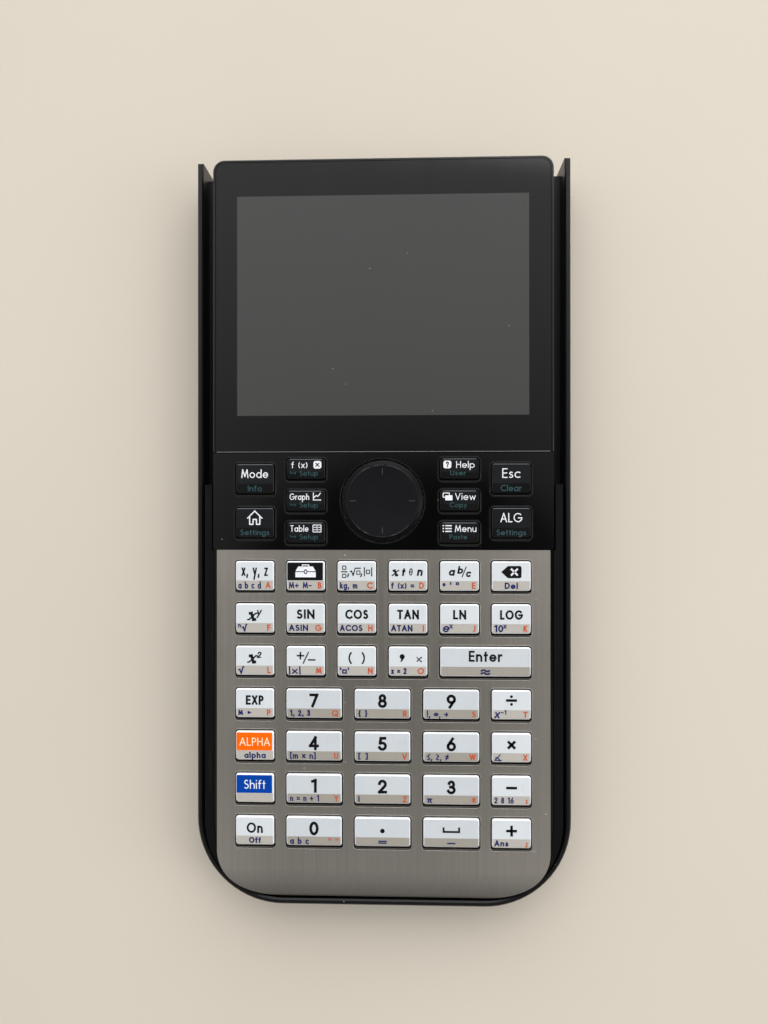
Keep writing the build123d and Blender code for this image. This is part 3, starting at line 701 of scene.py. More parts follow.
# every sign: its width, then the middle lines of its strokes, for capitals 1 high
SIGNS = {
    " ": (0.28,),
    "A": (0.72, [(0, 0), (0.36, 1), (0.72, 0)], [(0.13, 0.33), (0.59, 0.33)]),
    "B": (0.48, [(0, 0), (0, 1), (0.2, 1)] + arc(0.2, 0.77, 0.2, 0.23, 90, -90) + [(0, 0.54)],
          [(0.1, 0.54)] + arc(0.22, 0.27, 0.26, 0.27, 90, -90) + [(0, 0)]),
    "C": (0.82, arc(0.5, 0.5, 0.5, 0.5, 48, 312)),
    "D": (0.66, [(0, 0), (0, 1)] + arc(0.18, 0.5, 0.48, 0.5, 90, -90) + [(0, 0)]),
    "E": (0.44, [(0.44, 1), (0, 1), (0, 0), (0.44, 0)], [(0, 0.52), (0.4, 0.52)]),
    "F": (0.42, [(0.42, 1), (0, 1), (0, 0)], [(0, 0.52), (0.38, 0.52)]),
    "G": (0.98, arc(0.5, 0.5, 0.5, 0.5, 48, 357) + [(0.56, 0.47)]),
    "H": (0.6, [(0, 0), (0, 1)], [(0.6, 0), (0.6, 1)], [(0, 0.52), (0.6, 0.52)]),
    "I": (0.0, [(0, 0), (0, 1)]),
    "J": (0.28, [(0.28, 1), (0.28, 0.2)] + arc(0.08, 0.2, 0.2, 0.2, -10, -100, 6)),
    "K": (0.5, [(0, 0), (0, 1)], [(0.47, 1), (0.02, 0.5)], [(0.12, 0.6), (0.5, 0)]),
    "L": (0.4, [(0, 1), (0, 0), (0.4, 0)]),
    "M": (0.84, [(0, 0), (0.12, 1), (0.42, 0.12), (0.72, 1), (0.84, 0)]),
    "N": (0.66, [(0, 0), (0, 1), (0.66, 0), (0.66, 1)]),
    "O": (1.0, circle(0.5, 0.5, 0.5, 0.5)),
    "P": (0.46, [(0, 0), (0, 1)] + arc(0.2, 0.73, 0.26, 0.27, 90, -90) + [(0, 0.46)]),
    "Q": (1.0, circle(0.5, 0.5, 0.5, 0.5), [(0.62, 0.32), (0.94, -0.06)]),
    "R": (0.5, [(0, 0), (0, 1)] + arc(0.2, 0.74, 0.26, 0.26, 90, -90) + [(0, 0.48)],
          [(0.2, 0.46), (0.5, 0)]),
    "S": (0.48, arc(0.24, 0.75, 0.2, 0.25, 48, 265, 10) + arc(0.23, 0.26, 0.25, 0.26, 78, -135, 10)),
    "T": (0.54, [(0, 1), (0.54, 1)], [(0.27, 1), (0.27, 0)]),
    "U": (0.56, [(0, 1)] + arc(0.28, 0.28, 0.28, 0.28, 180, 360) + [(0.56, 1)]),
    "V": (0.66, [(0, 1), (0.33, 0), (0.66, 1)]),
    "W": (0.98, [(0, 1), (0.25, 0), (0.49, 0.92), (0.73, 0), (0.98, 1)]),
    "X": (0.58, [(0, 0), (0.56, 1)], [(0.02, 1), (0.58, 0)]),
    "Y": (0.58, [(0, 1), (0.29, 0.48), (0.58, 1)], [(0.29, 0.48), (0.29, 0)]),
    "Z": (0.54, [(0.02, 1), (0.52, 1), (0.02, 0), (0.54, 0)]),
    "a": (LOW, bowl(), [(LOW, LOW), (LOW, 0)]),
    "b": (LOW, bowl(), [(0, 1), (0, 0)]),
    "c": (0.5, arc(BOWL, BOWL, BOWL, BOWL, 52, 308)),
    "d": (LOW, bowl(), [(LOW, 1), (LOW, 0)]),
    "e": (0.6, [(0.04, 0.31), (0.6, 0.31)] + arc(0.3, BOWL, 0.3, BOWL, 12, 318)),
    "f": (0.3, [(0.12, 0)] + arc(0.32, 0.8, 0.2, 0.2, 180, 96, 6), [(0, LOW), (0.28, LOW)]),
    "g": (LOW, bowl(), [(LOW, LOW)] + arc(0.33, -0.1, 0.29, 0.26, 0, -150, 10)),
    "h": (0.5, [(0, 1), (0, 0)], hump(0.25, 0.25, 0.26)),
    "i": (0.0, [(0, LOW), (0, 0)], [(0, 0.94), (0, 0.97)]),
    "k": (0.42, [(0, 1), (0, 0)], [(0.38, LOW), (0.03, 0.3)], [(0.12, 0.38), (0.42, 0)]),
    "l": (0.0, [(0, 1), (0, 0)]),
    "m": (0.86, [(0, LOW), (0, 0)], hump(0.215, 0.215, 0.24), hump(0.645, 0.215, 0.24)),
    "n": (0.5, [(0, LOW), (0, 0)], hump(0.25, 0.25, 0.26)),
    "o": (LOW, bowl()),
    "p": (LOW, bowl(), [(0, LOW), (0, -0.36)]),
    "r": (0.28, [(0, LOW), (0, 0)], arc(0.26, 0.36, 0.26, 0.26, 178, 85, 6)),
    "s": (0.34, arc(0.18, 0.47, 0.14, 0.15, 45, 262, 8) + arc(0.16, 0.16, 0.18, 0.16, 82, -135, 8)),
    "t": (0.26, [(0.12, 0.9), (0.12, 0)], [(0, LOW), (0.26, LOW)]),
    "u": (0.5, [(0, LOW)] + arc(0.25, 0.25, 0.25, 0.25, 180, 360, 10) + [(0.5, LOW)],
          [(0.5, LOW), (0.5, 0)]),
    "w": (0.8, [(0, LOW), (0.2, 0), (0.4, 0.56), (0.6, 0), (0.8, LOW)]),
    "x": (0.46, [(0, 0), (0.45, LOW)], [(0.01, LOW), (0.46, 0)]),
    "y": (0.5, [(0, LOW), (0.26, 0.02)], [(0.5, LOW), (0.12, -0.36)]),
    "z": (0.42, [(0.02, LOW), (0.4, LOW), (0.02, 0), (0.42, 0)]),
    "0": (0.6, circle(0.3, 0.5, 0.3, 0.5)),
    "1": (0.26, [(0, 0.9), (0.26, 1), (0.26, 0)]),
    "2": (0.58, arc(0.29, 0.72, 0.27, 0.28, 172, -38) + [(0.02, 0), (0.58, 0)]),
    "3": (0.54, arc(0.27, 0.76, 0.21, 0.24, 160, -90) + [(0.2, 0.52)],
          arc(0.26, 0.26, 0.28, 0.26, 100, -160)),
    "4": (0.66, [(0.46, 0), (0.46, 1), (0, 0.25), (0.66, 0.25)]),
    "5": (0.56, [(0.5, 1), (0.14, 1), (0.07, 0.55)] + arc(0.27, 0.29, 0.29, 0.29, 112, -155)),
    "6": (0.6, [(0.42, 1), (0.05, 0.46)] + arc(0.3, 0.3, 0.3, 0.3, 156, 500, 22)),
    "7": (0.56, [(0, 1), (0.56, 1), (0.16, 0)]),
    "8": (0.56, circle(0.28, 0.76, 0.22, 0.24), circle(0.28, 0.26, 0.28, 0.26)),
    "9": (0.6, [(0.18, 0), (0.55, 0.54)] + arc(0.3, 0.7, 0.3, 0.3, -24, 320, 22)),
    ",": (0.06, [(0.06, 0.05), (0.0, -0.18)]),
    ":": (0.0, [(0, 0.02), (0, 0.06)], [(0, 0.52), (0, 0.56)]),
    ";": (0.06, [(0.06, 0.05), (0.0, -0.16)], [(0.06, 0.52), (0.06, 0.56)]),
    "!": (0.0, [(0, 1), (0, 0.32)], [(0, 0.0), (0, 0.03)]),
    "?": (0.44, arc(0.22, 0.74, 0.2, 0.26, 170, -60, 10) + [(0.22, 0.34)], [(0.22, 0.0), (0.22, 0.03)]),
    "\"": (0.34, [(0, 1), (0, 0.7)], [(0.34, 1), (0.34, 0.7)]),
    "'": (0.0, [(0, 1), (0, 0.74)]),
    "+": (0.56, [(0, 0.42), (0.56, 0.42)], [(0.28, 0.14), (0.28, 0.7)]),
    "-": (0.4, [(0, 0.42), (0.4, 0.42)]),
    "=": (0.5, [(0, 0.26), (0.5, 0.26)], [(0, 0.58), (0.5, 0.58)]),
    "(": (0.16, arc(0.6, 0.42, 0.6, 0.7, 140, 220, 8)),
    ")": (0.16, arc(-0.44, 0.42, 0.6, 0.7, 40, -40, 8)),
    "[": (0.16, [(0.16, 1.05), (0, 1.05), (0, -0.12), (0.16, -0.12)]),
    "]": (0.16, [(0, 1.05), (0.16, 1.05), (0.16, -0.12), (0, -0.12)]),
    "{": (0.26, [(0.26, 1.05), (0.14, 0.98), (0.14, 0.58), (0, 0.46), (0.14, 0.34), (0.14, -0.06),
                 (0.26, -0.13)]),
    "}": (0.26, [(0, 1.05), (0.12, 0.98), (0.12, 0.58), (0.26, 0.46), (0.12, 0.34), (0.12, -0.06),
                 (0, -0.13)]),
    "|": (0.0, [(0, 1.1), (0, -0.15)]),
    "#": (0.62, [(0.18, 0.08), (0.26, 0.92)], [(0.4, 0.08), (0.48, 0.92)], [(0, 0.34), (0.6, 0.34)],
          [(0.04, 0.66), (0.64, 0.66)]),
    "×": (0.5, [(0, 0.12), (0.5, 0.66)], [(0, 0.66), (0.5, 0.12)]),
    "≤": (0.46, [(0.46, 0.9), (0.02, 0.56), (0.46, 0.24)], [(0, 0), (0.46, 0)]),
    "≥": (0.46, [(0, 0.9), (0.44, 0.56), (0, 0.24)], [(0, 0), (0.46, 0)]),
    "≠": (0.5, [(0, 0.26), (0.5, 0.26)], [(0, 0.58), (0.5, 0.58)], [(0.1, 0.02), (0.4, 0.82)]),
    "≈": (0.9, arc(0.23, 0.54, 0.23, 0.16, 165, 15, 8) + arc(0.67, 0.66, 0.23, 0.16, 195, 345, 8),
          arc(0.23, 0.14, 0.23, 0.16, 165, 15, 8) + arc(0.67, 0.26, 0.23, 0.16, 195, 345, 8)),
    "∞": (0.8, circle(0.2, 0.42, 0.2, 0.19), circle(0.6, 0.42, 0.2, 0.19)),
    "→": (0.62, [(0, 0.42), (0.62, 0.42)], [(0.4, 0.66), (0.64, 0.42), (0.4, 0.18)]),
    "√": (0.7, [(0, 0.52), (0.14, 0.58), (0.32, -0.02), (0.62, 1), (0.7, 1)]),
    "π": (0.72, [(0, 0.6), (0.72, 0.6)], [(0.2, 0.6), (0.14, 0)], [(0.5, 0.6), (0.5, 0.1), (0.62, 0)]),
    "θ": (0.42, circle(0.21, 0.5, 0.21, 0.5), [(0.04, 0.5), (0.38, 0.5)]),
    "∡": (0.62, [(0.5, 0.96), (0, 0), (0.62, 0)], arc(0.0, 0.0, 0.46, 0.46, -12, 80, 6)),
    "°": (0.3, circle(0.15, 0.66, 0.15, 0.17)),
    "□": (0.62, [(0, 0), (LOW, 0), (LOW, LOW), (0, LOW), (0, 0)]),
}

PRINT_LIFT = 0.03       # ink above the surface
PRINT_SINK = 0.02       # and into it
FIELD_LIFT = 0.02       # coloured field under other ink
OVER_LIFT = 0.04        # ink on a field
TOP_LIFT = 0.045        # and over that
RUN_STEP = 0.0015       # from one run of a line to the next
PATH_STEP = 0.0004      # from one line of a sign to the next
TEXT_WEIGHT = 0.15      # stroke width of text, of its height
TEXT_GAP = 0.13         # and the gap between its signs


def linked(name, data):
    """New object in the scene."""
    made = bpy.data.objects.new(name, data)
    bpy.context.scene.collection.objects.link(made)
    return made


def riding(name, mesh, body):
    """The piece made from a mesh, riding on its body."""
    piece = linked(name, mesh)
    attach(piece, body)


class Print:
    """Printed marks on one cap; x to the right, y up, from the cap's middle."""

    def __init__(self, key):
        self.key = key
        self.cap = Cap(key)
        self.points = []
        self.faces = []
        self.inks = []
        self.used = []

    def add(self, points, faces, colour):
        if colour not in self.used:
            self.used.append(colour)
        start = len(self.points)
        self.points += points
        self.faces += [tuple(start + i for i in face) for face in faces]
        self.inks += [self.used.index(colour)] * len(faces)

    def filled(self, outline, colour, lift=PRINT_LIFT):
        """Closed flat shape; the outline runs anticlockwise."""
        count = len(outline)
        points = [(x, y, height) for height in (-PRINT_SINK, lift) for x, y in outline]
        faces = [tuple(range(count, 2 * count)), tuple(range(count - 1, -1, -1))]
        faces += [(i, (i + 1) % count, count + (i + 1) % count, count + i) for i in range(count)]
        self.add(points, faces, colour)

    def stroke(self, points, width, colour, lift=PRINT_LIFT):
        """Line of even width; each straight or curved run lies a hair above the one before."""
        points = [p for i, p in enumerate(points) if not i or dist(p, points[i - 1]) > SAME_POINT]
        for number, run in enumerate(runs(points)):
            self.run(run, width, colour, lift + RUN_STEP * (number % 6))

    def run(self, points, width, colour, lift):
        """One line without sharp corners, closed where its last point is its first."""
        half = width / 2
        closed = len(points) > 2 and dist(points[0], points[-1]) < SAME_POINT
        points = points[:-1] if closed else creased(lengthened(points, half), self.cap.facet)
        left, right = offsets(points, half, closed)
        count = len(points)
        solid = [(x, y, height) for height in (-PRINT_SINK, lift) for x, y in left + right]
        faces = []
        top = 2 * count
        for i in range(count if closed else count - 1):
            a, b, c, d = i, (i + 1) % count, count + (i + 1) % count, count + i
            faces += [
                (a, b, c, d),
                (top + d, top + c, top + b, top + a),
                (a, top + a, top + b, b),
                (d, c, top + c, top + d),
            ]
        if not closed:
            end = count - 1
            faces.append((0, count, top + count, top))
            faces.append((end, top + end, top + count + end, count + end))
        self.add(solid, faces, colour)

    def words(self, words, x, y, height, colour, width=None, weight=None, slant=0.0, align=0.0,
              lift=PRINT_LIFT):
        """Line of text, its capitals' middle at y; align -1 starts at x, 1 ends there."""
        weight = weight or height * TEXT_WEIGHT
        scale = height - weight
        gap = TEXT_GAP * height
        natural = sum(SIGNS[c][0] for c in words) * scale + gap * (len(words) - 1)
        stretch = (width - weight * len(words)) / natural if width else 1.0
        total = natural * stretch + weight * len(words)
        pen = x - total * (align + 1) / 2
        base = y - height / 2 + weight / 2
        for sign in words:
            wide, *paths = SIGNS[sign]
            for number, path in enumerate(paths):
                moved = [
                    (pen + weight / 2 + (a * stretch + b * slant) * scale, base + b * scale)
                    for a, b in path
                ]
                self.stroke(moved, weight, colour, lift + PATH_STEP * number)
            pen += wide * scale * stretch + weight + gap * stretch

    def lines(self, x, y, size, width, colour, *paths, lift=PRINT_LIFT):
        """Strokes given in units of size about x, y."""
        for path in paths:
            self.stroke([(x + a * size, y + b * size) for a, b in path], width, colour, lift)

    def square(self, x, y, size, colour, width=0.2):
        self.stroke(rounded_outline(size, size, 0.05, x, y, True), width, colour)

    def times(self, x, y, size, width, colour, lift=PRINT_LIFT):
        crossed = [(-0.5, -0.5), (0.5, 0.5)], [(-0.5, 0.5), (0.5, -0.5)]
        self.lines(x, y, size, width, colour, *crossed, lift=lift)

    def oval(self, x, y, radius_x, radius_y, colour, lift=PRINT_LIFT):
        self.filled(arc(x, y, radius_x, radius_y, 0, 330, 11), colour, lift)

    def dot(self, x, y, radius, colour):
        self.oval(x, y, radius, radius, colour)

    def made(self, slot):
        """The finished piece, riding on its key."""
        name = f"legend_{self.key}"
        mesh = bpy.data.meshes.new(name)
        mesh.from_pydata([self.cap.seat(*p) for p in self.points], [], self.faces)
        for colour in self.used:
            mesh.materials.append(INKS[colour])
        mesh.polygons.foreach_set("material_index", self.inks)
        shape = bmesh.new()
        shape.from_mesh(mesh)
        bmesh.ops.remove_doubles(shape, verts=shape.verts, dist=1e-7)
        bmesh.ops.recalc_face_normals(shape, faces=shape.faces)
        shape.to_mesh(mesh)
        shape.free()
        riding(name, mesh, f"key_{self.key}")


# ---- marks of the white keys: each is drawn at a height on the cap ---------------------------
def italic_x(legend, x, y, size):
    """Book letter x: one thick and one thin stroke with curled ends, leaning."""
    for path, thick in (
        ([(-0.36, 0.36), (-0.20, 0.38), (0.20, -0.38), (0.36, -0.36)], 0.33),
        ([(0.44, 0.38), (0.30, 0.36), (-0.30, -0.36), (-0.44, -0.38)], 0.17),
    ):
        legend.lines(x, y, size, thick * size, "black", [(a + 0.25 * b, b) for a, b in path])


def leaning(legend, letter, x, y, height, weight, slant=0.2):
    legend.words(letter, x, y, height, "black", weight=weight, slant=slant)


def field(legend, colour):
    """Coloured field over the whole face above the facet."""
    top = legend.cap.length / 2 - 0.32
    low = legend.cap.facet + 0.06
    outline = rounded_outline(legend.cap.width - 0.6, top - low, 0.12, -0.12, (top + low) / 2)
    legend.filled(outline, colour, FIELD_LIFT)


def main_toolbox(legend, y):
    field(legend, "black")
    body = [(-2.45, -1.35), (2.45, -1.35), (2.45, 0.1), (1.75, 1.25), (-1.75, 1.25), (-2.45, 0.1)]
    legend.filled([(a, y + b) for a, b in body], "white")
    legend.stroke([(-2.45, y), (2.45, y)], 0.2, "black", OVER_LIFT)
    legend.oval(0, y - 0.02, 0.45, 0.6, "black", TOP_LIFT)
    legend.oval(0, y - 0.02, 0.22, 0.34, "white", TOP_LIFT + 0.005)
    handle = [(-0.85, y + 1.2), (-0.75, y + 1.62), (0.75, y + 1.62), (0.85, y + 1.2)]
    legend.stroke(handle, 0.24, "white")


def main_template(legend, y):
    """A fraction, a root and an absolute value, each about an empty square, with commas between."""
    legend.square(-3.0, y + 0.98, 0.8, "black")
    legend.stroke([(-3.65, y), (-2.35, y)], 0.26, "black")
    legend.square(-3.0, y - 0.98, 0.8, "black")
    for x in (-1.95, 1.2):
        legend.stroke([(x, y - 0.55), (x - 0.2, y - 1.1)], 0.3, "black")
    root = [(-0.42, 0.02), (-0.28, 0.10), (-0.06, -0.48), (0.22, 0.48), (0.9, 0.48)]
    legend.lines(-0.75, y, 1.8, 0.25, "black", root)
    legend.square(0.4, y - 0.2, 0.8, "black")
    for x in (1.85, 3.6):
        legend.stroke([(x, y - 0.95), (x, y + 0.95)], 0.24, "black")
    legend.square(2.72, y, 0.8, "black")


def main_delete(legend, y):
    tag = [(-2.4, 0.0), (-1.0, -1.3), (-0.7, -1.45), (2.1, -1.45), (2.4, -1.15), (2.4, 1.15), (2.1, 1.45),
           (-0.7, 1.45), (-1.0, 1.3)]
    legend.filled([(a, y + b) for a, b in tag], "black")
    legend.times(0.7, y, 1.3, 0.42, "white", TOP_LIFT)


def main_raised(sign, x, rise, height, weight):
    """The letter x with a raised sign."""
    def drawn(legend, y):
        italic_x(legend, -0.55, y - 0.35, 2.05)
        leaning(legend, sign, x, y + rise, height, weight)
    return drawn


def main_sign_change(legend, y):
    legend.lines(-1.25, y + 0.5, 1.45, 0.34, "black", [(-0.5, 0), (0.5, 0)], [(0, -0.5), (0, 0.5)])
    legend.lines(0.05, y, 2.6, 0.27, "black", [(-0.24, -0.5), (0.24, 0.5)])
    legend.stroke([(0.75, y - 0.5), (2.2, y - 0.5)], 0.34, "black")


def main_brackets(legend, y):
    for side, middle in ((-1, 180), (1, 0)):
        legend.stroke(arc(-0.2 * side, y, 2.0, 2.0, middle - 38, middle + 38, 12), 0.36, "black")


def main_comma(legend, y):
    legend.dot(-1.4, y + 0.4, 0.62, "black")
    legend.filled([(-1.86, y - 0.95), (-1.4, y - 0.7), (-0.8, y + 0.4), (-1.6, y - 0.06)], "black")
    legend.times(2.6, y - 0.25, 0.9, 0.24, "black")
    legend.dot(3.18, y + 0.22, 0.16, "black")
    legend.dot(3.18, y - 0.72, 0.16, "black")


def main_fraction(legend, y):
    leaning(legend, "a", -1.95, y + 0.1, 2.0, 0.42)
    leaning(legend, "b", 0.1, y + 0.5, 1.85, 0.40)
    legend.lines(1.05, y, 2.3, 0.22, "black", [(-0.2, -0.5), (0.22, 0.5)])
    leaning(legend, "c", 2.0, y - 0.25, 1.9, 0.40)


def main_xtn(legend, y):
    italic_x(legend, -3.0, y - 0.25, 1.5)
    leaning(legend, "t", -1.2, y, 1.95, 0.42)
    leaning(legend, "θ", 0.6, y, 1.75, 0.22, slant=0.1)
    leaning(legend, "n", 2.75, y + 0.12, 2.1, 0.44)


def main_operator(kind):
    def drawn(legend, y):
        if kind == "/":
            y += 0.35
        if kind in "+-/":
            legend.stroke([(-0.98, y), (0.98, y)], 0.6, "black")
        if kind == "+":
            legend.stroke([(0, y - 0.98), (0, y + 0.98)], 0.6, "black")
        if kind == "/":
            legend.dot(0, y + 0.92, 0.34, "black")
            legend.dot(0, y - 0.92, 0.34, "black")
        if kind == "x":
            legend.times(0, y, 1.3, 0.62, "black")
    return drawn


def main_digit(figure):
    def drawn(legend, y):
        legend.words(figure, 0, y, 3.3, "black", weight=0.65)
    return drawn


def main_field(colour, ink_name, words, height, width):
    """Words on a coloured face."""
    def drawn(legend, y):
        field(legend, colour)
        legend.words(words, 0, legend.cap.along(FIELD_PLACE), height, ink_name, width=width, weight=0.24,
                     lift=OVER_LIFT)
    return drawn


def main_point(legend, y):
    legend.dot(0, y - 0.4, 0.54, "black")


def main_space(legend, y):
    tray = [(-1.85, y + 0.45), (-1.85, y - 0.4), (1.85, y - 0.4), (1.85, y + 0.45)]
    legend.stroke(tray, 0.44, "black")


def blue(legend, sign, x, y, height, weight, slant=0.0):
    """Blue text that starts at x."""
    legend.words(sign, x, y, height, "blue", align=-1.0, weight=weight, slant=slant)


def second_nth_root(legend, x, y):
    blue(legend, "n", x, y + 0.6, 1.2, 0.24)
    blue(legend, "√", x + 0.85, y, 1.9, 0.3)


def second_power(base, size, base_rise, top, top_size, top_rise, reach, slant=0.15):
    """A base with a small raised figure."""
    def drawn(legend, x, y):
        blue(legend, base, x, y + base_rise, size, 0.36, slant)
        blue(legend, top, x + reach, y + top_rise, top_size, 0.24)
    return drawn


def second_low_line(legend, x, y):
    legend.stroke([(-0.8, y - 0.2), (0.8, y - 0.2)], 0.34, "blue")


def second_store(legend, x, y):
    blue(legend, "M", x, y, 1.32, 0.3)
    legend.filled([(x + 2.3, y - 0.45), (x + 3.25, y), (x + 2.3, y + 0.45)], "blue")


# main mark, its width, second mark, its width, letter
LEGENDS = {
    "variables": ("x, y, z", 6.4, "a b c d", 5.5, "A"),
    "toolbox": (main_toolbox, 0, "M+ M-", 5.5, "B"),
    "template": (main_template, 0, "kg, m", 4.2, "C"),
    "xtn": (main_xtn, 0, "f (x) =", 5.5, "D"),
    "fraction": (main_fraction, 0, "° ' \"", 3.9, "E"),
    "delete": (main_delete, 0, "Del", 3.1, None),
    "power": (main_raised("y", 0.95, 0.85, 2.0, 0.32), 0, second_nth_root, 0, "F"),
    "sin": ("SIN", 4.3, "ASIN", 4.6, "G"),
    "cos": ("COS", 5.5, "ACOS", 5.4, "H"),
    "tan": ("TAN", 5.2, "ATAN", 5.1, "I"),
    "ln": ("LN", 3.1, second_power("e", 2.3, 0.2, "x", 1.5, 0.72, 1.6), 0, "J"),
    "log": ("LOG", 5.4, second_power("10", 1.75, 0.0, "x", 1.4, 0.72, 2.15, 0.0), 0, "K"),
    "square": (main_raised("2", 1.0, 0.65, 1.5, 0.3), 0, "√", 1.5, "L"),
    "plus_minus": (main_sign_change, 0, "|x|", 2.8, "M"),
    "brackets": (main_brackets, 0, "'□'", 2.2, "N"),
    "comma": (main_comma, 0, "x = 2", 3.7, "O"),
    "enter": ("Enter", 7.95, "≈", 2.3, None),
    "exponent": ("EXP", 4.3, second_store, 0, "P"),
    "7": (main_digit("7"), 0, "1, 2, 3", 4.9, "Q"),
    "8": (main_digit("8"), 0, "{ }", 2.2, "R"),
    "9": (main_digit("9"), 0, "!, ∞, →", 5.0, "S"),
    "divide": (main_operator("/"), 0, second_power("x", 2.3, 0.2, "-1", 1.15, 0.55, 1.6), 0, "T"),
    "alpha": (main_field("orange_field", "cream", "ALPHA", 1.95, 7.4), 0, "alpha", 5.2, None),
    "4": (main_digit("4"), 0, "[m × n]", 6.2, "U"),
    "5": (main_digit("5"), 0, "[ ]", 2.3, "V"),
    "6": (main_digit("6"), 0, "≤, ≥, ≠", 5.2, "W"),
    "multiply": (main_operator("x"), 0, "∡", 1.8, "X"),
    "shift": (main_field("blue_field", "white", "Shift", 2.2, 5.2), 0, None, 0, None),
    "1": (main_digit("1"), 0, "n = n + 1", 7.0, "Y"),
    "2": (main_digit("2"), 0, "i", None, "Z"),
    "3": (main_digit("3"), 0, "π", 1.3, "#"),
    "minus": (main_operator("-"), 0, "2 8 16", 4.6, ":"),
    "on": ("On", 3.9, "Off", 2.9, None),
    "0": (main_digit("0"), 0, "a b c", 4.5, "\" \""),
    "point": (main_point, 0, "=", 2.0, None),
    "space": (main_space, 0, second_low_line, 0, None),
    "plus": (main_operator("+"), 0, "Ans", 3.3, ";"),
}

# sizes of the text in millimetres and its places on the caps; those not listed are usual
MAIN_HEIGHT, SECOND_HEIGHT, LETTER_HEIGHT = 2.25, 1.55, 1.55
MAIN_WEIGHT, SECOND_WEIGHT, LETTER_WEIGHT = 0.46, 0.32, 0.29
MAIN_PLACE, FIELD_PLACE, SECOND_PLACE = 0.385, 0.355, 0.82
MAIN_HEIGHTS = {"enter": 2.6, "on": 2.5, "variables": 3.0}
MAIN_WEIGHTS = {"variables": 0.36}
MAIN_PLACES = {
    **dict.fromkeys(WHITE_KEYS[1:6], 0.355),
    **dict.fromkeys(("sin", "cos", "tan", "ln", "log"), 0.35),
    "variables": 0.29,
    "enter": 0.3,
}
SECOND_HEIGHTS = {
    "enter": 2.1, "point": 1.8, "square": 1.9, "plus_minus": 1.75, "fraction": 1.7, "3": 1.7,
    "variables": 1.75, "0": 1.75, "4": 1.65, "1": 1.65, "6": 1.75, "9": 1.8, "multiply": 1.75,
}
SECOND_WEIGHTS = {
    "6": 0.27, "9": 0.28, "multiply": 0.26, "enter": 0.38, "variables": 0.29, "toolbox": 0.26,
    "template": 0.29, "1": 0.28, "4": 0.29, "minus": 0.28, "xtn": 0.29,
}
LETTER_WEIGHTS = {"#": 0.21, "\" \"": 0.24, ":": 0.38, ";": 0.36}
CENTRED = {"delete", "enter", "alpha", "on", "point", "space"}


def white_legend(name):
    """Print on one white key."""
    main, main_width, second, second_width, letter = LEGENDS[name]
    legend = Print(name)
    cap = legend.cap
    main_y = cap.along(MAIN_PLACES.get(name, MAIN_PLACE))
    if callable(main):
        main(legend, main_y)
    else:
        legend.words(main, 0, main_y, MAIN_HEIGHTS.get(name, MAIN_HEIGHT), "black", width=main_width,
                     weight=MAIN_WEIGHTS.get(name, MAIN_WEIGHT))
    second_y = cap.along(SECOND_PLACE)
    left = (0.85 if name.isdigit() else 0.55) - cap.width / 2
    if callable(second):
        second(legend, left, second_y)
    elif second:
        start, align = (0, 0.0) if name in CENTRED else (left, -1.0)
        legend.words(second, start, second_y, SECOND_HEIGHTS.get(name, SECOND_HEIGHT), "blue",
                     width=second_width, weight=SECOND_WEIGHTS.get(name, SECOND_WEIGHT), align=align)
    if letter:
        legend.words(letter, cap.width / 2 - 0.8, second_y, LETTER_HEIGHT, "orange",
                     weight=LETTER_WEIGHTS.get(letter, LETTER_WEIGHT), align=1.0)
    legend.made("white_keys")


# ---- signs of the black keys: each is drawn about a point on the cap -------------------------
def sign_house(legend, x, y):
    roof = [(-0.5, -0.03), (0.0, 0.47), (0.5, -0.03)]
    walls = [(-0.36, 0.02), (-0.36, -0.47), (-0.13, -0.47), (-0.11, -0.12), (0.11, -0.12), (0.13, -0.47),
             (0.36, -0.47), (0.36, 0.02)]
    legend.lines(x, y, 3.4, 0.28, "white", roof, walls)


def sign_axes(legend, x, y):
    curve = [(-0.38, -0.1), (-0.1, 0.16), (0.1, 0.02), (0.46, 0.46)]
    legend.lines(x, y, 1.75, 0.22, "white", [(-0.5, 0.5), (-0.5, -0.46), (0.5, -0.46)], curve)


def sign_table(legend, x, y):
    legend.stroke(rounded_outline(1.95, 1.7, 0.15, x, y, True), 0.2, "white")
    rows = [[(-0.9, level), (0.9, level)] for level in (0.29, -0.29)]
    legend.lines(x, y, 1.0, 0.17, "white", [(0, -0.8), (0, 0.8)], *rows)


def sign_boxed(sign):
    """A black sign on a white patch."""
    def drawn(legend, x, y):
        legend.filled(rounded_outline(1.9, 1.85, 0.5, x, y), "white")
        if sign == "x":
            legend.times(x, y, 0.75, 0.25, "black", TOP_LIFT)
        else:
            legend.words(sign, x, y, 1.4, "black", weight=0.27, lift=TOP_LIFT)
    return drawn


def sign_windows(legend, x, y):
    legend.stroke(rounded_outline(1.5, 1.0, 0.12, x - 0.32, y + 0.32, True), 0.22, "white")
    legend.filled(rounded_outline(1.75, 1.2, 0.15, x + 0.3, y - 0.32), "white", OVER_LIFT)


def sign_list(legend, x, y):
    for row in (-0.68, 0.0, 0.68):
        legend.dot(x - 0.92, y + row, 0.18, "white")
        legend.stroke([(x - 0.3, y + row), (x + 0.95, y + row)], 0.29, "white")


def sign_hook(legend, x, y):
    """Small bent arrow before the second words."""
    legend.stroke([(x - 0.75, y + 0.4), (x - 0.75, y), (x + 0.6, y)], 0.14, "teal")
    legend.stroke([(x + 0.35, y + 0.25), (x + 0.6, y), (x + 0.35, y - 0.25)], 0.14, "teal")


SETUP = ("Setup", 1.25, 4.4)

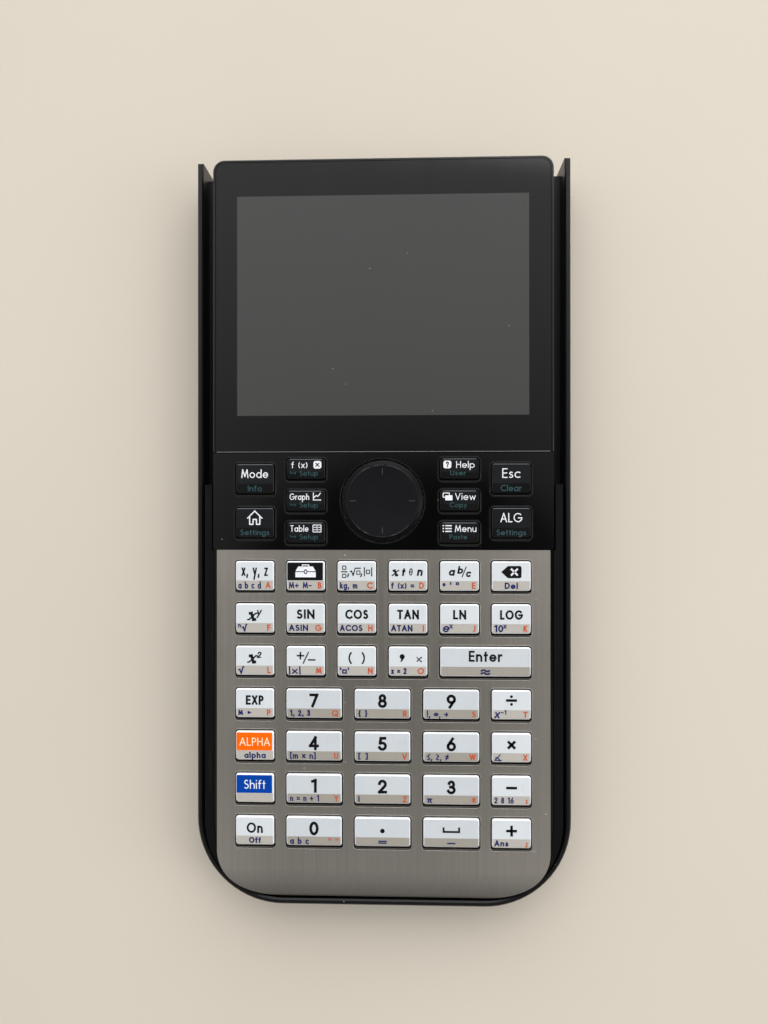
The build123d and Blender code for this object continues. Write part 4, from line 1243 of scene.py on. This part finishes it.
# main words, height, width, x, pictogram, its x, second words, height, width
PANEL_LEGENDS = {
    "apps": ("Mode", 2.1, 6.5, 0, None, 0, "Info", 1.45, 3.4),
    "home": (None, 0, 0, 0, sign_house, 0, "Settings", 1.35, 7.0),
    "formula": ("f (x)", 1.55, 3.9, -1.5, sign_boxed("x"), 2.85, *SETUP),
    "graph": ("Graph", 1.55, 4.7, -1.5, sign_axes, 2.75, *SETUP),
    "table": ("Table", 1.55, 4.4, -1.5, sign_table, 2.75, *SETUP),
    "escape": ("Esc", 2.3, 4.3, 0, None, 0, "Clear", 1.5, 5.0),
    "algebra": ("ALG", 2.2, 5.2, 0, None, 0, "Settings", 1.35, 7.0),
    "help": ("Help", 1.65, 4.4, 1.4, sign_boxed("?"), -2.9, "User", 1.15, 3.8),
    "view": ("View", 1.65, 4.9, 1.4, sign_windows, -2.85, "Copy", 1.15, 4.1),
    "menu": ("Menu", 1.65, 5.1, 1.45, sign_list, -2.95, "Paste", 1.15, 4.2),
}
# on large and small black caps: places of the main and second words, then their weights
PANEL_TEXT = {True: (0.32, 0.82, 0.25, 0.19), False: (0.29, 0.7, 0.19, 0.16)}


def black_legend(name):
    """Print on one black key."""
    main, height, width, x, sign, sign_x, second, second_height, second_width = PANEL_LEGENDS[name]
    legend = Print(name)
    cap = legend.cap
    main_place, second_place, weight, second_weight = PANEL_TEXT[cap.large]
    main_y, second_y = cap.along(main_place), cap.along(second_place)
    if main:
        legend.words(main, x, main_y, height, "white", width=width, weight=weight)
    if sign:
        sign(legend, sign_x, main_y)
    second_x = 0 if cap.large else -0.3
    if second == "Setup":
        sign_hook(legend, -2.95, second_y)
        second_x = 0.75
    legend.words(second, second_x, second_y, second_height, "teal", width=second_width,
                 weight=second_weight)
    legend.made("black_keys")


for key in WHITE_KEYS:
    white_legend(key)
for key in BLACK_KEYS:
    black_legend(key)


# ---- edges of the openings, by Geometry Nodes -----------------------------------------------
ROUND = 8       # sides of a bead


class Grower(Maker):
    """Geometry Nodes tree with named inputs, one of them its Finish."""

    def __init__(self, name, **inputs):
        tree = bpy.data.node_groups.new(name, "GeometryNodeTree")
        tree.interface.new_socket("Geometry", in_out="OUTPUT", socket_type="NodeSocketGeometry")
        for size, kind in inputs.items():
            tree.interface.new_socket(size, in_out="INPUT", socket_type=f"NodeSocket{kind}")
        super().__init__(tree)
        self.entry = tree.nodes.new("NodeGroupInput")

    def given(self, size):
        return Signal(self, self.entry.outputs[size])

    def finished(self, shape):
        """The tree, with the shape made real and in its finish."""
        real = self.node("GeometryNodeRealizeInstances", {}, {0: shape})
        painted = self.node(
            "GeometryNodeSetMaterial", {}, {"Geometry": real, "Material": self.given("Finish")}
        )
        self.node("NodeGroupOutput", {}, {0: painted})
        return self.tree


def bead_tree():
    """Round bead along a rounded rectangle."""
    made = Grower("opening_bead", Width="Float", Length="Float", Corner="Float", Bead="Float",
                  Finish="Material")
    loop = made.node("GeometryNodeCurvePrimitiveQuadrilateral", {}, {
        "Width": made.given("Width"), "Height": made.given("Length"),
    })
    path = made.node("GeometryNodeFilletCurve", {"mode": "POLY"}, {
        "Curve": loop, "Count": 5, "Radius": made.given("Corner"),
    })
    profile = made.node("GeometryNodeCurvePrimitiveCircle", {}, {
        "Resolution": ROUND, "Radius": made.given("Bead"),
    })
    return made.finished(made.node("GeometryNodeCurveToMesh", {}, {"Curve": path, "Profile Curve": profile}))


def tick_tree():
    """Thin radial marks evenly round a circle."""
    made = Grower("tick_marks", Count="Int", Radius="Float", Mark="Vector", Finish="Material")
    round_line = made.node("GeometryNodeMeshCircle", {}, {
        "Vertices": made.given("Count"), "Radius": made.given("Radius"),
    })
    turn = made.node("GeometryNodeInputIndex") / made.given("Count") * (2 * pi)
    return made.finished(made.node("GeometryNodeInstanceOnPoints", {}, {
        "Points": round_line,
        "Instance": made.node("GeometryNodeMeshCube", {}, {"Size": made.given("Mark")}),
        "Rotation": made.node("ShaderNodeCombineXYZ", {}, {2: turn}),
    }))


def grow(tree, values, name):
    """Plain mesh of a tree, with its named inputs set."""
    holder = linked(name, bpy.data.meshes.new(name))
    modifier = holder.modifiers.new("grow", "NODES")
    modifier.node_group = tree
    for item in tree.interface.items_tree:
        if item.in_out == "INPUT":
            modifier[item.identifier] = values[item.name]
    evaluated = holder.evaluated_get(bpy.context.evaluated_depsgraph_get())
    mesh = bpy.data.meshes.new_from_object(evaluated)
    holder.modifiers.clear()
    bpy.data.objects.remove(holder)
    return mesh


def piece_of(name, shape, finish, body, smooth=True):
    """The piece made from a bmesh, in one finish, riding on its body."""
    bmesh.ops.recalc_face_normals(shape, faces=shape.faces)
    for face in shape.faces:
        face.smooth = smooth
        face.material_index = 0
    mesh = bpy.data.meshes.new(name)
    shape.to_mesh(mesh)
    shape.free()
    mesh.materials.append(finish)
    riding(name, mesh, body)


def joined(name, parts, body, smooth=True):
    """One piece from meshes, each with the function that seats its points."""
    shape = bmesh.new()
    for mesh, seat in parts:
        start = len(shape.verts)
        shape.from_mesh(mesh)
        shape.verts.ensure_lookup_table()
        for vertex in shape.verts[start:]:
            vertex.co = seat(vertex.co)
    bmesh.ops.remove_doubles(shape, verts=shape.verts, dist=1e-7)
    piece_of(name, shape, parts[0][0].materials[-1], body, smooth)


def beads(name, keys, finish, height, bead, out, lower=0.0):
    """Beads round the openings of several keys, out from their edges, further at the lower side."""
    tree = bead_tree()
    parts = []
    for key in keys:
        cap = Cap(key)
        mesh = grow(tree, {
            "Width": cap.width + 2 * HOLE_GAP + 2 * out,
            "Length": cap.length + HOLE_GAP + HOLE_GAP_LOW + 2 * out + lower,
            "Corner": CAP_CORNER + HOLE_GAP + out,
            "Bead": bead,
            "Finish": finish,
        }, name)
        centre = Vector((cap.x, cap.y + (HOLE_GAP - HOLE_GAP_LOW - lower) / 2, height))
        parts.append((mesh, lambda point, centre=centre: (point + centre) * MM))
    joined(name, parts, "calculator")


def dish(point):
    """A point laid on the hollow top of the cursor pad."""
    out = hypot(point.x, point.y)
    rise = PAD_DISH_R - sqrt(PAD_DISH_R**2 - out**2) - PAD_DISH_SAG
    return Vector((point.x, point.y + PAD_Y, pad_high.z + rise + point.z)) * MM


def bead_profile(across, up, bead):
    """Points round a bead's middle."""
    turns = [2 * pi * i / ROUND for i in range(ROUND)]
    return [(across + bead * cos(turn), up + bead * sin(turn)) for turn in turns]


def turned_ring(name, profile, finish, body, steps=96):
    """Closed ring about the pad's middle, from a profile of radius and height."""
    shape = bmesh.new()
    rows = []
    for i in range(steps):
        turn = 2 * pi * i / steps
        rows.append([
            shape.verts.new((r * cos(turn) * MM, (PAD_Y + r * sin(turn)) * MM, z * MM)) for r, z in profile
        ])
    count = len(profile)
    for i in range(steps):
        row, after = rows[i], rows[(i + 1) % steps]
        for j in range(count):
            k = (j + 1) % count
            shape.faces.new((row[j], after[j], after[k], row[k]))
    piece_of(name, shape, finish, body)


def edge_strip(name, x0, x1, profile, finish, body):
    """Thin straight rod from a profile of y and height."""
    shape = bmesh.new()
    first, last = ([shape.verts.new((x * MM, y * MM, z * MM)) for y, z in profile] for x in (x0, x1))
    for i in range(len(profile)):
        j = (i + 1) % len(profile)
        shape.faces.new((first[i], first[j], last[j], last[i]))
    for row in (first, last):
        shape.faces.new(row)
    piece_of(name, shape, finish, body, smooth=False)


# the dark folds down in the openings are painted shade in the gaps round the caps
gap_shade_finish = dark_edge("dark_fold", 3)
dark_finish = dark_edge("dark_edge", 9)
beads("plate_hole_edges", WHITE_KEYS, bright_edge(), plate_high.z - 0.03, 0.065, 0.15, 0.26)
beads("plate_hole_shade_folds", WHITE_KEYS, gap_shade_finish, plate_high.z - 0.12, 0.16, -0.04, 0.22)
beads("panel_hole_edges", BLACK_KEYS, dark_finish, PANEL_Z - 0.05, 0.07, 0.32)
beads("panel_hole_shade_folds", BLACK_KEYS, gap_shade_finish, PANEL_Z - 0.11, 0.16, 0.08)

ticks = grow(
    tick_tree(),
    {"Count": 4, "Radius": 7.1, "Mark": (1.5, 0.12, 0.05), "Finish": INKS["faint"]},
    "pad_tick_marks",
)
joined("pad_tick_marks", [(ticks, dish)], "cursor_pad", smooth=False)

turned_ring("pad_opening_edge", bead_profile(OPENING_R + 0.08, PANEL_Z - 0.08, 0.10), dark_finish,
            "calculator")
turned_ring("pad_rim", bead_profile(PAD_TOP_R - 0.2, pad_high.z - 0.06, 0.07), pad_edge(),
            "cursor_pad")
# thin pale rod along the glass's lower edge: a painted highlight
edge_strip("glass_lower_edge", glass_low.x + 0.3, glass_high.x - 0.3,
           bead_profile(glass_low.y + 0.02, glass_high.z - 0.09, 0.10), glass_edge_highlight(), "calculator")


# ---- floor, light and camera ----------------------------------------------------------------
FLOOR_SIZE = 4.0
DARK_OVERHEAD = (0.23, 0.18)    # half sizes of the dark patch overhead
DARK_SHIFT = 0.10               # its middle, towards the key end
DOME_REACH = 5.0                # from there to the lightest walls, in half sizes
CAMERA_PLACE = (6.65, 4.74, 200.47)     # millimetres
CAMERA_TURN = (0.094, 1.941, -0.027)    # degrees
CAMERA_SENSOR = 36.0
CAMERA_LENS = 27.07


def even(value):
    """Grey as a linear colour."""
    return (value, value, value, 1.0)


def studio_world():
    """Pale room, dark overhead and dimmer towards the key end."""
    world = bpy.data.worlds.new("studio")
    world.use_nodes = True
    sky = Maker(world.node_tree)
    way = sky.node("ShaderNodeTexCoord", output="Generated")
    sideways, forward = sky.part(way, 0), sky.part(way, 1)
    half_x, half_y = DARK_OVERHEAD
    overhead = sky.math("SQRT", (sideways / half_x) ** 2.0 + ((forward + DARK_SHIFT) / half_y) ** 2.0)
    dome = sky.node(
        "ShaderNodeValToRGB",
        {"stops": [
            (0.0, even(0.02)),
            (0.17, even(0.03)),
            (0.21, even(0.28)),
            (0.32, even(0.47)),
            (0.6, even(0.88)),
            (1.0, (1.04, 1.04, 1.05, 1.0)),
        ]},
        {0: overhead / DOME_REACH},
    )
    lit = sky.scaled(dome, sky.ramped(forward, -0.5, -0.1, 0.4, 1.0))
    camera_ray = sky.node("ShaderNodeLightPath", output="Is Camera Ray")
    seen = sky.mix(lit, (0.80, 0.79, 0.77, 1.0), camera_ray)
    back = sky.node("ShaderNodeBackground", {}, {"Color": seen, "Strength": 1.0})
    sky.node("ShaderNodeOutputWorld", {}, {"Surface": back})
    return world


def soft_lamp(name, place, width, height, power, spread=180):
    """Large soft area lamp, turned to the object."""
    lamp = bpy.data.lights.new(name, "AREA")
    lamp.shape = "RECTANGLE"
    lamp.size, lamp.size_y = width, height
    lamp.energy = power
    lamp.spread = radians(spread)
    made = linked(name, lamp)
    made.location = place
    made.rotation_euler = (-Vector(place)).to_track_quat("-Z", "Y").to_euler()


bpy.ops.mesh.primitive_plane_add(size=FLOOR_SIZE, location=(0, 0, 0))
floor = bpy.context.object
floor.name = "floor"
floor.data.materials.append(floor_paint())

bpy.context.scene.world = studio_world()
soft_lamp("window_lamp", (0.10, 0.85, 0.62), 1.6, 1.0, 3.5, 100)
soft_lamp("side_lamp", (0.75, -0.1, 0.5), 0.4, 0.6, 1.6)

camera = bpy.data.cameras.new("camera")
camera.sensor_width = CAMERA_SENSOR
camera.lens = CAMERA_LENS
camera.clip_start = 0.01
shot = linked("camera", camera)
shot.location = [along * MM for along in CAMERA_PLACE]
shot.rotation_euler = [radians(angle) for angle in CAMERA_TURN]
bpy.context.scene.camera = shot
bpy.context.scene.view_settings.view_transform = "Standard"
